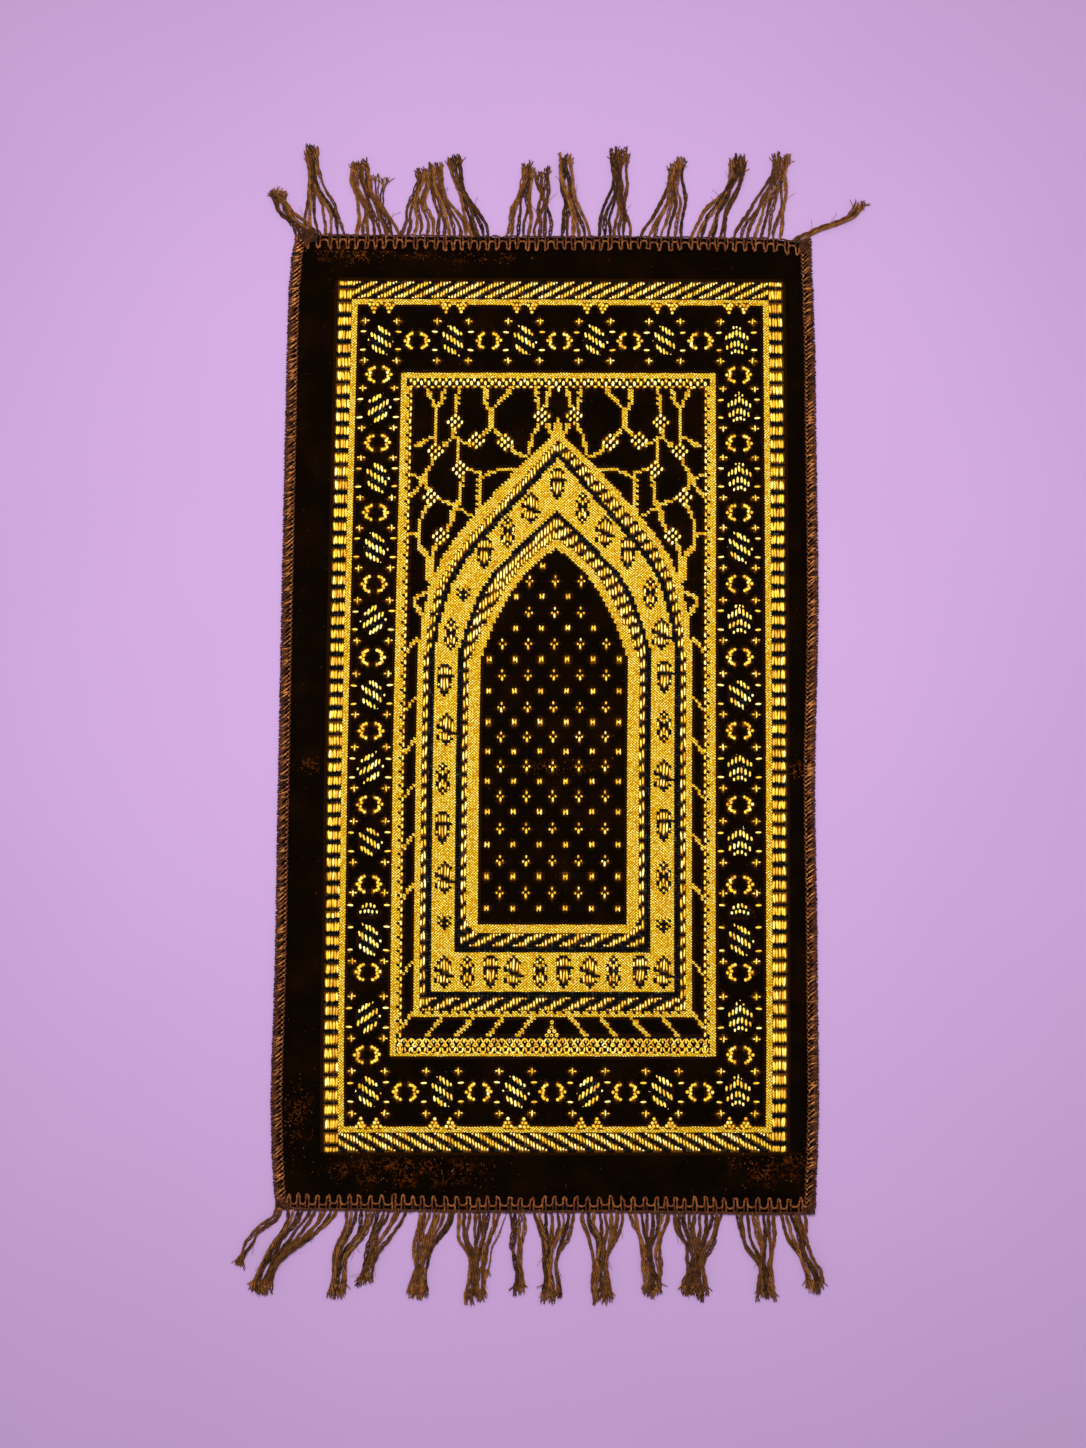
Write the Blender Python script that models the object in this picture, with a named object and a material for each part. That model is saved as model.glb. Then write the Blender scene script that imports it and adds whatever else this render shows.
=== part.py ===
"""A velvet prayer rug with overcast edges and a yarn fringe at both ends.

The rug lies flat on the plane z = 0, in metres. The point of its arch faces +Y, and the
origin is under the middle of the cloth.
"""

import math
import random
from collections import namedtuple

import bmesh
import bpy

# Driving dimensions, in metres.
RUG_WIDTH = 0.600  # over both side bindings
RUG_LENGTH = 1.100  # over both rows of end stitches
CLOTH_THICKNESS = 0.0040  # ground and pile together
RIM_UNDERSIDE = 0.0012  # the cloth rises this far over the stitches that pass below its edge
RIM_TOP = 0.0030  # the edge stitches press the pile down to this height
RIM_SLOPE = 0.0040  # the pile climbs back to its full height over this width
CREASE_Y = -0.066  # a fold has left a faint trough across the rug here
CREASE_DEPTH = 0.0005
CREASE_HALF_WIDTH = 0.010
GAP = 0.0003  # pieces that touch are built this far apart

CLOTH_INNER_COLUMNS = 13
CLOTH_INNER_ROWS = 16

YARN_WALL = 0.0012  # yarn outside the cloth's edge
EDGE_INSET = YARN_WALL + GAP  # the cloth ends this far inside the rug's outline
YARN_FLOOR = 0.0009  # yarn below the cloth's edge
SIDE_BINDING_WIDTH = 0.0130
SIDE_BINDING_HEIGHT = 0.0046
END_STITCH_DEPTH = 0.0165  # from the cut end to the inner loops of the stitches
END_CHAIN_WIDTH = 0.0034  # the chain line along the cut end
END_CHAIN_HEIGHT = 0.0047
STITCH_PITCH = 0.0115
STITCH_YARN_WIDTH = 0.0022
STITCH_YARN_HEIGHT = 0.0011

FRINGE_STRIP_WIDTH = 0.0026
FRINGE_STRIP_UNDERSIDE = 0.0002
FRINGE_STRIP_TOP = 0.0030
STRAND_WIDTH = 0.0034
STRAND_TOP_WIDTH = 0.0020
STRAND_HEIGHT = 0.0026
STRAND_TIP_SHARE = 0.66  # a strand's tip is this much of its width at the root
STRAND_GATHERED = 0.72  # a bunch is drawn together at this share of its length
STRAND_STEPS = 5
BUNCH_STRAIGHT_SHARE = 0.48  # a bunch heads straight out for this share of its reach
TIP_UNEVENNESS = 0.0035
RANDOM_SEED = 11

WELD_DISTANCE = 0.00001
SHARP_ANGLE = math.radians(40)

# How far each long edge lies outside its straight line, from bottom to top.
SideDrift = namedtuple("SideDrift", "y left right")
SIDE_DRIFTS = (
    SideDrift(-0.550, -0.0080, -0.0040),
    SideDrift(-0.517, -0.0045, -0.0032),
    SideDrift(-0.484, -0.0020, -0.0015),
    SideDrift(-0.430, 0.0000, 0.0000),
    SideDrift(-0.260, -0.0013, -0.0008),
    SideDrift(-0.090, -0.0005, -0.0027),
    SideDrift(0.140, 0.0000, 0.0019),
    SideDrift(0.400, 0.0000, 0.0000),
    SideDrift(0.480, -0.0004, -0.0019),
    SideDrift(0.517, -0.0025, -0.0035),
    SideDrift(0.550, -0.0065, -0.0040),
)

# How far each cut end lies outside its straight line, from left to right.
EndDrift = namedtuple("EndDrift", "x bottom top")
END_DRIFTS = (
    EndDrift(-0.300, -0.0012, -0.0008),
    EndDrift(-0.240, 0.0000, 0.0000),
    EndDrift(-0.080, 0.0007, -0.0006),
    EndDrift(0.090, -0.0004, 0.0007),
    EndDrift(0.240, 0.0004, 0.0000),
    EndDrift(0.300, -0.0006, -0.0042),
)

# Bunches of the fringe, from left to right. The roots and the tips span these places
# along the edge, and reach is how far the tips lie from the edge.
Bunch = namedtuple("Bunch", "root_from root_to tip_from tip_to reach strands")
TOP_BUNCHES = (
    Bunch(-0.288, -0.279, -0.332, -0.324, 0.055, 3),
    Bunch(-0.272, -0.238, -0.286, -0.271, 0.104, 6),
    Bunch(-0.219, -0.178, -0.231, -0.217, 0.089, 6),
    Bunch(-0.174, -0.138, -0.157, -0.143, 0.080, 5),
    Bunch(-0.127, -0.096, -0.139, -0.129, 0.088, 4),
    Bunch(-0.088, -0.075, -0.120, -0.110, 0.096, 4),
    Bunch(-0.055, -0.027, -0.034, -0.022, 0.087, 4),
    Bunch(-0.020, -0.002, -0.018, -0.004, 0.081, 4),
    Bunch(0.011, 0.044, 0.007, 0.021, 0.098, 5),
    Bunch(0.055, 0.087, 0.067, 0.087, 0.104, 6),
    Bunch(0.100, 0.148, 0.138, 0.153, 0.092, 6),
    Bunch(0.156, 0.194, 0.206, 0.221, 0.096, 6),
    Bunch(0.209, 0.259, 0.256, 0.273, 0.100, 7),
    Bunch(0.271, 0.286, 0.350, 0.360, 0.046, 4),
)
BOTTOM_BUNCHES = (
    Bunch(-0.288, -0.284, -0.334, -0.331, 0.060, 2),
    Bunch(-0.277, -0.224, -0.317, -0.297, 0.088, 8),
    Bunch(-0.213, -0.184, -0.232, -0.218, 0.091, 5),
    Bunch(-0.177, -0.152, -0.201, -0.190, 0.077, 4),
    Bunch(-0.133, -0.099, -0.146, -0.128, 0.090, 6),
    Bunch(-0.091, -0.050, -0.082, -0.064, 0.095, 7),
    Bunch(-0.037, -0.022, -0.031, -0.023, 0.091, 3),
    Bunch(-0.009, 0.031, 0.000, 0.018, 0.093, 6),
    Bunch(0.044, 0.086, 0.056, 0.073, 0.094, 7),
    Bunch(0.092, 0.134, 0.110, 0.127, 0.088, 7),
    Bunch(0.141, 0.193, 0.152, 0.177, 0.090, 8),
    Bunch(0.210, 0.249, 0.234, 0.252, 0.091, 7),
    Bunch(0.256, 0.280, 0.290, 0.303, 0.082, 5),
)

Finish = namedtuple("Finish", "name colour roughness")
VELVET = Finish("velvet", (0.009, 0.004, 0.002, 1.0), 0.85)
BINDING_YARN = Finish("binding yarn", (0.140, 0.048, 0.016, 1.0), 0.75)
FRINGE_YARN = Finish("fringe yarn", (0.115, 0.044, 0.015, 1.0), 0.80)


def clear_scene():
    """Removes every object of the open scene."""
    for old in list(bpy.data.objects):
        bpy.data.objects.remove(old, do_unlink=True)


def collection_named(name):
    """Returns a new collection under the scene's own."""
    collection = bpy.data.collections.new(name)
    bpy.context.scene.collection.children.link(collection)
    return collection


def material_of(finish):
    """Returns a Principled material in a finish's colour and roughness."""
    material = bpy.data.materials.new(finish.name)
    material.use_nodes = True
    shader = material.node_tree.nodes["Principled BSDF"]
    shader.inputs["Base Color"].default_value = finish.colour
    shader.inputs["Roughness"].default_value = finish.roughness
    shader.inputs["Metallic"].default_value = 0.0
    material.diffuse_color = finish.colour
    return material


def eased(low, high, share):
    """Blends two values with a level start and end."""
    soft = share * share * (3.0 - 2.0 * share)
    return low + (high - low) * soft


def drift(rows, place, column):
    """Reads one column of a drift table at a place along the edge."""
    if place <= rows[0][0]:
        return getattr(rows[0], column)
    for before, after in zip(rows, rows[1:]):
        if place <= after[0]:
            share = (place - before[0]) / (after[0] - before[0])
            return eased(getattr(before, column), getattr(after, column), share)
    return getattr(rows[-1], column)


def left_edge(y):
    """Returns the x of the rug's left edge at a height."""
    return -RUG_WIDTH / 2 - drift(SIDE_DRIFTS, y, "left")


def right_edge(y):
    """Returns the x of the rug's right edge at a height."""
    return RUG_WIDTH / 2 + drift(SIDE_DRIFTS, y, "right")


def bottom_edge(x):
    """Returns the y of the rug's lower end at a place across it."""
    return -RUG_LENGTH / 2 - drift(END_DRIFTS, x, "bottom")


def top_edge(x):
    """Returns the y of the rug's upper end at a place across it."""
    return RUG_LENGTH / 2 + drift(END_DRIFTS, x, "top")


def spread(first, last, steps):
    """Returns evenly spaced values from first to last, both included."""
    return [first + (last - first) * step / steps for step in range(steps + 1)]


def object_from(mesh, name, finish, collection):
    """Puts a mesh in a collection as a named, smoothly shaded object."""
    mesh.name = name
    mesh.materials.clear()
    mesh.materials.append(material_of(finish))
    mesh.shade_smooth()
    mesh.set_sharp_from_angle(angle=SHARP_ANGLE)
    made = bpy.data.objects.new(name, mesh)
    collection.objects.link(made)
    return made


def section_curve(name, outline, guides):
    """Makes a closed flat curve, used as the section of a sweep."""
    curve = bpy.data.curves.new(name, "CURVE")
    curve.dimensions = "2D"
    curve.fill_mode = "NONE"
    spline = curve.splines.new("POLY")
    spline.points.add(len(outline) - 1)
    for point, (across, up) in zip(spline.points, outline):
        point.co = (across, up, 0.0, 1.0)
    spline.use_cyclic_u = True
    section = bpy.data.objects.new(name, curve)
    section.hide_render = True
    section.display_type = "WIRE"
    guides.objects.link(section)
    return section


def swept_mesh(name, paths, section, guides):
    """Sweeps a section along each path and returns one mesh with welded caps.

    A path is a list of (x, y, z, size) rows, where size scales the section there.
    """
    curve = bpy.data.curves.new(name, "CURVE")
    curve.dimensions = "3D"
    curve.twist_mode = "Z_UP"
    curve.bevel_mode = "OBJECT"
    curve.bevel_object = section
    curve.use_fill_caps = True
    for path in paths:
        spline = curve.splines.new("POLY")
        spline.points.add(len(path) - 1)
        for point, (x, y, z, size) in zip(spline.points, path):
            point.co = (x, y, z, 1.0)
            point.radius = size
    guide = bpy.data.objects.new(name, curve)
    guides.objects.link(guide)
    bpy.context.view_layer.update()
    evaluated = guide.evaluated_get(bpy.context.evaluated_depsgraph_get())
    mesh = bpy.data.meshes.new_from_object(evaluated)
    bpy.data.objects.remove(guide, do_unlink=True)
    shape = bmesh.new()
    shape.from_mesh(mesh)
    bmesh.ops.remove_doubles(shape, verts=shape.verts, dist=WELD_DISTANCE)
    bmesh.ops.recalc_face_normals(shape, faces=shape.faces)
    shape.to_mesh(mesh)
    shape.free()
    return mesh


def join_to(body, addition_mesh, name, guides):
    """Adds a mesh to a body with a Boolean union."""
    addition = bpy.data.objects.new(name, addition_mesh)
    addition.hide_render = True
    addition.display_type = "WIRE"
    guides.objects.link(addition)
    union = body.modifiers.new("join " + name, "BOOLEAN")
    union.operation = "UNION"
    union.object = addition


def rim_rows(start, finish, inner_steps, rim_width):
    """Returns the (place, rim share) rows of the cloth between two of its edges.

    The share is 1 where stitches press the cloth and 0 where it has its full pile.
    """
    slope_start = start + rim_width
    slope_end = finish - rim_width
    inner = spread(slope_start + RIM_SLOPE, slope_end - RIM_SLOPE, inner_steps)
    pressed_start = [(start, 1.0), (slope_start, 1.0)]
    pressed_end = [(slope_end, 1.0), (finish, 1.0)]
    return pressed_start + [(place, 0.0) for place in inner] + pressed_end


def with_crease(rows):
    """Adds the rows that the crease needs and drops the plain ones that it covers."""
    crease = [CREASE_Y + CREASE_HALF_WIDTH * side for side in (-1.0, 0.0, 1.0)]
    reach = 2.0 * CREASE_HALF_WIDTH
    kept = [row for row in rows if abs(row[0] - CREASE_Y) > reach]
    return sorted(kept + [(place, 0.0) for place in crease])


def cloth_columns():
    """Returns the (x, rim share) columns of the cloth before its edges drift."""
    half_width = RUG_WIDTH / 2 - EDGE_INSET
    side_rim = SIDE_BINDING_WIDTH - EDGE_INSET + GAP
    return rim_rows(-half_width, half_width, CLOTH_INNER_COLUMNS, side_rim)


def cloth_rows():
    """Returns the (y, rim share) rows of the cloth before its edges drift."""
    half_length = RUG_LENGTH / 2 - EDGE_INSET
    end_rim = END_STITCH_DEPTH - EDGE_INSET + GAP
    return with_crease(rim_rows(-half_length, half_length, CLOTH_INNER_ROWS, end_rim))


def build_cloth(collection):
    """Builds the flat cloth with its pressed rim, uneven outline and faint crease."""
    columns = cloth_columns()
    rows = cloth_rows()
    across = len(columns) - 1
    along = len(rows) - 1
    half_width = columns[-1][0]
    half_length = rows[-1][0]

    shape = bmesh.new()
    bmesh.ops.create_grid(shape, x_segments=across, y_segments=along, size=0.5)
    height_above = shape.verts.layers.float.new("height_above")
    for vert in shape.verts:
        column, column_rim = columns[round((vert.co.x + 0.5) * across)]
        row, row_rim = rows[round((vert.co.y + 0.5) * along)]
        share_right = (column + half_width) / (2 * half_width)
        share_up = (row + half_length) / (2 * half_length)
        left = left_edge(row) + RUG_WIDTH / 2
        right = right_edge(row) - RUG_WIDTH / 2
        bottom = bottom_edge(column) + RUG_LENGTH / 2
        top = top_edge(column) - RUG_LENGTH / 2
        is_pressed = max(column_rim, row_rim) > 0.5
        crease = CREASE_DEPTH if abs(row - CREASE_Y) < CREASE_HALF_WIDTH / 2 else 0.0
        vert.co.x = column + left + (right - left) * share_right
        vert.co.y = row + bottom + (top - bottom) * share_up
        vert.co.z = RIM_UNDERSIDE if is_pressed else 0.0
        vert[height_above] = RIM_TOP if is_pressed else CLOTH_THICKNESS - crease
    lifted = bmesh.ops.extrude_face_region(shape, geom=list(shape.faces))
    for vert in lifted["geom"]:
        if isinstance(vert, bmesh.types.BMVert):
            vert.co.z = vert[height_above]
    bmesh.ops.recalc_face_normals(shape, faces=shape.faces)
    mesh = bpy.data.meshes.new("pile_cloth")
    shape.to_mesh(mesh)
    shape.free()
    return object_from(mesh, "pile_cloth", VELVET, collection)


def wrapped_section(width, lip_width, height):
    """Returns the outline of yarn wrapped round an edge.

    It is measured inwards from the edge and up from the floor. The lower layer reaches
    in by width, and the upper layer by lip_width.
    """
    slot_low = YARN_FLOOR
    slot_high = RIM_TOP + GAP
    round_off = 0.0008
    return (
        (round_off, 0.0),
        (width, 0.0),
        (width, slot_low),
        (YARN_WALL, slot_low),
        (YARN_WALL, slot_high),
        (lip_width, slot_high),
        (lip_width, height - 0.5 * round_off),
        (0.6 * lip_width, height),
        (1.3 * round_off, height - 0.3 * round_off),
        (0.0, height - 1.6 * round_off),
        (0.0, round_off),
    )


def build_side_binding(name, edge, inwards, collection, guides):
    """Builds the yarn that overcasts one long edge, from end to end."""
    outline = wrapped_section(SIDE_BINDING_WIDTH, SIDE_BINDING_WIDTH, SIDE_BINDING_HEIGHT)
    section = section_curve(name + "_section", outline, guides)
    half = RUG_LENGTH / 2
    inner_side = inwards * SIDE_BINDING_WIDTH
    low_end = max(bottom_edge(edge(-half)), bottom_edge(edge(-half) + inner_side))
    high_end = min(top_edge(edge(half)), top_edge(edge(half) + inner_side))
    level_end = 0.0008
    inner = [y for y, rim in cloth_rows() if low_end + level_end < y < high_end - level_end]
    stops = [low_end, low_end + level_end] + inner + [high_end - level_end, high_end]
    if inwards < 0:
        stops.reverse()
    path = [(edge(y), y, 0.0, 1.0) for y in stops]
    mesh = swept_mesh(name, [path], section, guides)
    return object_from(mesh, name, BINDING_YARN, collection)


def stitch_path(edge, outwards, first, last):
    """Returns the zigzag of open stitches between two places along a cut end."""
    count = round((last - first) / STITCH_PITCH)
    pitch = (last - first) / count
    outer = 0.6 * END_CHAIN_WIDTH
    inner = END_STITCH_DEPTH - STITCH_YARN_WIDTH / 2
    height = RIM_TOP + GAP + 0.1 * STITCH_YARN_HEIGHT + STITCH_YARN_HEIGHT / 2
    stitch = ((0.15, outer), (0.39, inner), (0.61, inner), (0.85, outer))
    path = []
    for index in range(count):
        for share, depth in stitch:
            x = first + (index + share) * pitch
            path.append((x, edge(x) - outwards * depth, height, 1.0))
    return path


def build_end_stitches(name, edge, outwards, collection, guides):
    """Builds the chain line and the open stitches of one cut end."""
    outline = wrapped_section(END_STITCH_DEPTH, END_CHAIN_WIDTH, END_CHAIN_HEIGHT)
    section = section_curve(name + "_section", outline, guides)
    depths = spread(0.0, END_STITCH_DEPTH, 4)
    heights = [outwards * (RUG_LENGTH / 2 - depth) for depth in depths]
    clear = SIDE_BINDING_WIDTH + GAP
    first = max(left_edge(y) for y in heights) + clear
    last = min(right_edge(y) for y in heights) - clear
    inner = [x for x, rim in cloth_columns() if first < x < last]
    stops = [first] + inner + [last]
    if outwards < 0:
        stops.reverse()
    path = [(x, edge(x), 0.0, 1.0) for x in stops]
    mesh = swept_mesh(name, [path], section, guides)
    stitches = object_from(mesh, name, BINDING_YARN, collection)

    half_width = STITCH_YARN_WIDTH / 2
    half_height = STITCH_YARN_HEIGHT / 2
    yarn_outline = ((-half_width, -half_height), (half_width, -half_height), (0.0, half_height))
    yarn = section_curve(name + "_yarn", yarn_outline, guides)
    margin = STITCH_YARN_WIDTH
    zigzag = stitch_path(edge, outwards, first + margin, last - margin)
    legs = swept_mesh(name + "_legs", [zigzag], yarn, guides)
    join_to(stitches, legs, name + "_legs", guides)
    return stitches


def strand_path(centre, offset_root, offset_tip, trim, root_shift):
    """Returns one strand's path beside its bunch's centre line.

    The centre is three (x, y) points of a quadratic curve. The offsets are measured
    across the line, trim shortens the strand at its tip, and root_shift follows the
    drift of the cut end at the strand's own root.
    """
    (x0, y0), (x1, y1), (x2, y2) = centre
    path = []
    for step in range(STRAND_STEPS + 1):
        t = step / STRAND_STEPS * (1.0 - trim)
        x = (1 - t) ** 2 * x0 + 2 * t * (1 - t) * x1 + t * t * x2
        y = (1 - t) ** 2 * y0 + 2 * t * (1 - t) * y1 + t * t * y2
        along_x = 2 * (1 - t) * (x1 - x0) + 2 * t * (x2 - x1)
        along_y = 2 * (1 - t) * (y1 - y0) + 2 * t * (y2 - y1)
        length = math.hypot(along_x, along_y)
        gathered = eased(0.0, 1.0, min(1.0, t / STRAND_GATHERED))
        offset = offset_root + (offset_tip - offset_root) * gathered
        size = 1.0 + (STRAND_TIP_SHARE - 1.0) * gathered
        side_x = along_y / length * offset
        side_y = -along_x / length * offset
        path.append((x + side_x, y + side_y + root_shift * (1.0 - gathered), 0.0, size))
    return path


def bunch_paths(bunch, edge, outwards, rng):
    """Returns the paths of a bunch's strands, rooted in the strip beyond the edge."""
    root_x = (bunch.root_from + bunch.root_to) / 2
    tip_x = (bunch.tip_from + bunch.tip_to) / 2
    start = GAP + FRINGE_STRIP_WIDTH / 2
    centre = (
        (root_x, edge(root_x) + outwards * start),
        (root_x, edge(root_x) + outwards * BUNCH_STRAIGHT_SHARE * bunch.reach),
        (tip_x, edge(root_x) + outwards * bunch.reach),
    )
    tip_width = bunch.tip_to - bunch.tip_from
    paths = []
    for share in spread(-0.5, 0.5, bunch.strands - 1):
        from_middle = share * (bunch.root_to - bunch.root_from)
        root_shift = edge(root_x + from_middle) - edge(root_x)
        offset_root = outwards * from_middle
        offset_tip = outwards * share * tip_width
        trim = rng.uniform(0.0, TIP_UNEVENNESS) / bunch.reach
        paths.append(strand_path(centre, offset_root, offset_tip, trim, root_shift))
    return paths


def build_fringe(name, bunches, edge, outwards, collection, guides):
    """Builds the strands of one end and the narrow strip that holds their roots."""
    half_strip = FRINGE_STRIP_WIDTH / 2
    strip_outline = (
        (-half_strip, FRINGE_STRIP_UNDERSIDE),
        (half_strip, FRINGE_STRIP_UNDERSIDE),
        (half_strip, 0.7 * FRINGE_STRIP_TOP),
        (0.4 * half_strip, FRINGE_STRIP_TOP),
        (-0.4 * half_strip, FRINGE_STRIP_TOP),
        (-half_strip, 0.7 * FRINGE_STRIP_TOP),
    )
    strip_section = section_curve(name + "_strip", strip_outline, guides)
    height = outwards * RUG_LENGTH / 2
    away = outwards * (GAP + half_strip)
    first = left_edge(height)
    last = right_edge(height)
    inner = [x for x, rim in cloth_columns() if first < x < last]
    path = [(x, edge(x) + away, 0.0, 1.0) for x in [first] + inner + [last]]
    strip = swept_mesh(name, [path], strip_section, guides)
    fringe = object_from(strip, name, FRINGE_YARN, collection)

    half_width = STRAND_WIDTH / 2
    half_top = STRAND_TOP_WIDTH / 2
    strand_outline = (
        (-half_width, 0.0),
        (half_width, 0.0),
        (half_top, STRAND_HEIGHT),
        (-half_top, STRAND_HEIGHT),
    )
    strand_section = section_curve(name + "_strand", strand_outline, guides)
    rng = random.Random(RANDOM_SEED)
    paths = []
    for bunch in bunches:
        paths.extend(bunch_paths(bunch, edge, outwards, rng))
    strands = swept_mesh(name + "_strands", paths, strand_section, guides)
    join_to(fringe, strands, name + "_strands", guides)
    return fringe


def main():
    """Builds the whole rug."""
    clear_scene()
    rug = collection_named("prayer rug")
    guides = collection_named("guides")
    build_cloth(rug)
    build_side_binding("binding_left", left_edge, 1, rug, guides)
    build_side_binding("binding_right", right_edge, -1, rug, guides)
    build_end_stitches("binding_top", top_edge, 1, rug, guides)
    build_end_stitches("binding_bottom", bottom_edge, -1, rug, guides)
    build_fringe("fringe_top", TOP_BUNCHES, top_edge, 1, rug, guides)
    build_fringe("fringe_bottom", BOTTOM_BUNCHES, bottom_edge, -1, rug, guides)


main()
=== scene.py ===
"""A prayer rug that lies flat: near-black velvet with a woven gold arch, brown overcast edges,
open end stitches and a gathered yarn fringe at both ends.

All sizes are in metres, in the frame of the rug's solids: +Y runs along the rug towards the
point of its arch, +X to the right seen from above, and the floor is at z = 0. The pattern is
charted in cells, 158 across and 320 down, counted from its top left corner.
"""

import logging
import math
from dataclasses import dataclass, field
from enum import Enum, IntEnum
from itertools import groupby
from typing import Any, Iterable, NamedTuple, Sequence

import bmesh
import bpy
import numpy as np
from bpy.types import Material, Mesh, Node, NodeSocket, NodeTree, Object, Scene
from mathutils import Matrix


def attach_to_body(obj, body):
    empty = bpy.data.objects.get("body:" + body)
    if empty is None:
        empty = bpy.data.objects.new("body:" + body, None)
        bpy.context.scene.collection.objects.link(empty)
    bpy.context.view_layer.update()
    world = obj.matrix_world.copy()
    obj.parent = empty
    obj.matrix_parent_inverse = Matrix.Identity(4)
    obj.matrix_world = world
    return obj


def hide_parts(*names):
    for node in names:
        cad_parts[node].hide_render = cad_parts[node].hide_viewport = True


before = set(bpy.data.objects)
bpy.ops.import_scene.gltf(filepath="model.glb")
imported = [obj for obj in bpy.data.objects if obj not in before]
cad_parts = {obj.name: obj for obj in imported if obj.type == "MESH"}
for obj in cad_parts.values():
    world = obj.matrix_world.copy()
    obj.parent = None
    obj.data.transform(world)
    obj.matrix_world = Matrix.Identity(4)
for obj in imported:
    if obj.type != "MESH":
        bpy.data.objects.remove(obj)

LOG = logging.getLogger("prayer_rug")
BODY = "root"
SEED = 11
TURN = 2.0 * math.pi


class Cell(IntEnum):
    """What one cell of the pattern shows."""

    PILE = 0
    FLAT = 1
    FLOAT = 2
    THREAD = 3


class Lean(Enum):
    """How the bands of a flower lean, as rows gained for each column."""

    RISING = -0.66
    FALLING = 0.66
    PEAKED = 0.55


class Side(Enum):
    """One of the rug's four edges: its name, and the way out across it."""

    LEFT = ("left", (-1.0, 0.0))
    RIGHT = ("right", (1.0, 0.0))
    BOTTOM = ("bottom", (0.0, -1.0))
    TOP = ("top", (0.0, 1.0))


class SideDrift(NamedTuple):
    """How far the long edges lie outside their straight lines at one height."""

    y: float
    left: float
    right: float


class EndDrift(NamedTuple):
    """How far the cut ends lie outside their straight lines at one place."""

    x: float
    bottom: float
    top: float


class Bunch(NamedTuple):
    """A bunch of fringe: where its roots and tips span, its reach, its strands, how thin they are."""

    root_from: float
    root_to: float
    tip_from: float
    tip_to: float
    reach: float
    strands: int
    thin: float = 1.0


def eased(low: float, high: float, share: float) -> float:
    """Blends two values with a level start and end.

    Args:
        low: The value at share 0.
        high: The value at share 1.
        share: How far along, from 0 to 1.

    Returns:
        The blended value.
    """
    soft = share * share * (3.0 - 2.0 * share)
    return low + (high - low) * soft


def drift(rows: Sequence[Any], place: float, column: str) -> float:
    """Reads one column of a drift table.

    Args:
        rows: The table, in rising order of its first column.
        place: Where along the edge to read.
        column: The name of the column.

    Returns:
        The drift there in metres.
    """
    if place <= rows[0][0]:
        return getattr(rows[0], column)
    for before, after in zip(rows, rows[1:]):
        if place <= after[0]:
            share = (place - before[0]) / (after[0] - before[0])
            return eased(getattr(before, column), getattr(after, column), share)
    return getattr(rows[-1], column)


@dataclass(frozen=True)
class Outline:
    """The rug's uneven outline, the same as that of its solids."""

    width: float = 0.600
    length: float = 1.100
    sides: tuple[SideDrift, ...] = tuple(SideDrift(*row) for row in (
        (-0.550, -0.0080, -0.0040), (-0.517, -0.0045, -0.0032), (-0.484, -0.0020, -0.0015),
        (-0.430, 0.0000, 0.0000), (-0.260, -0.0013, -0.0008), (-0.090, -0.0005, -0.0027),
        (0.140, 0.0000, 0.0019), (0.400, 0.0000, 0.0000), (0.480, -0.0004, -0.0019),
        (0.517, -0.0025, -0.0035), (0.550, -0.0065, -0.0040)))
    ends: tuple[EndDrift, ...] = tuple(EndDrift(*row) for row in (
        (-0.300, -0.0012, -0.0008), (-0.240, 0.0000, 0.0000), (-0.080, 0.0007, -0.0006),
        (0.090, -0.0004, 0.0007), (0.240, 0.0004, 0.0000), (0.300, -0.0006, -0.0042)))

    def edge(self, side: Side, along: float) -> float:
        """Returns where an edge lies: its x at a height, or its y at a place across.

        Args:
            side: Which edge.
            along: The y of a long edge's point, or the x of an end's.

        Returns:
            The other coordinate of the edge there.
        """
        name, (out_x, out_y) = side.value
        if out_x:
            return out_x * (self.width / 2 + drift(self.sides, along, name))
        return out_y * (self.length / 2 + drift(self.ends, along, name))

    def point(self, side: Side, along: float, inward: float, z: float) -> tuple[float, float, float]:
        """Returns a point set in from an edge.

        Args:
            side: Which edge.
            along: The place along the edge.
            inward: How far inside the edge; negative lies outside.
            z: The height above the floor.

        Returns:
            The point's x, y and z.
        """
        out_x, out_y = side.value[1]
        line = self.edge(side, along)
        if out_x:
            return (line - out_x * inward, along, z)
        return (along, line - out_y * inward, z)

    def follow(self, side: Side, place: float, path: Iterable[tuple[float, float, float]],
               stretch: float = 1.0) -> np.ndarray:
        """Returns the points of a path that crosses an edge.

        Args:
            side: Which edge.
            place: The place along the edge from which the path is measured.
            path: How far in, how far along and how high each point lies.
            stretch: What the distances along the edge are multiplied by.

        Returns:
            The points, a row for each.
        """
        return np.array([self.point(side, place + along * stretch, inward, z)
                         for inward, along, z in path])


class WeaveDrift(NamedTuple):
    """How far the weave strays at one row: at its left edge, middle and right edge, in mm."""

    row: float
    x: tuple[float, float, float]
    y: tuple[float, float, float]


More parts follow.
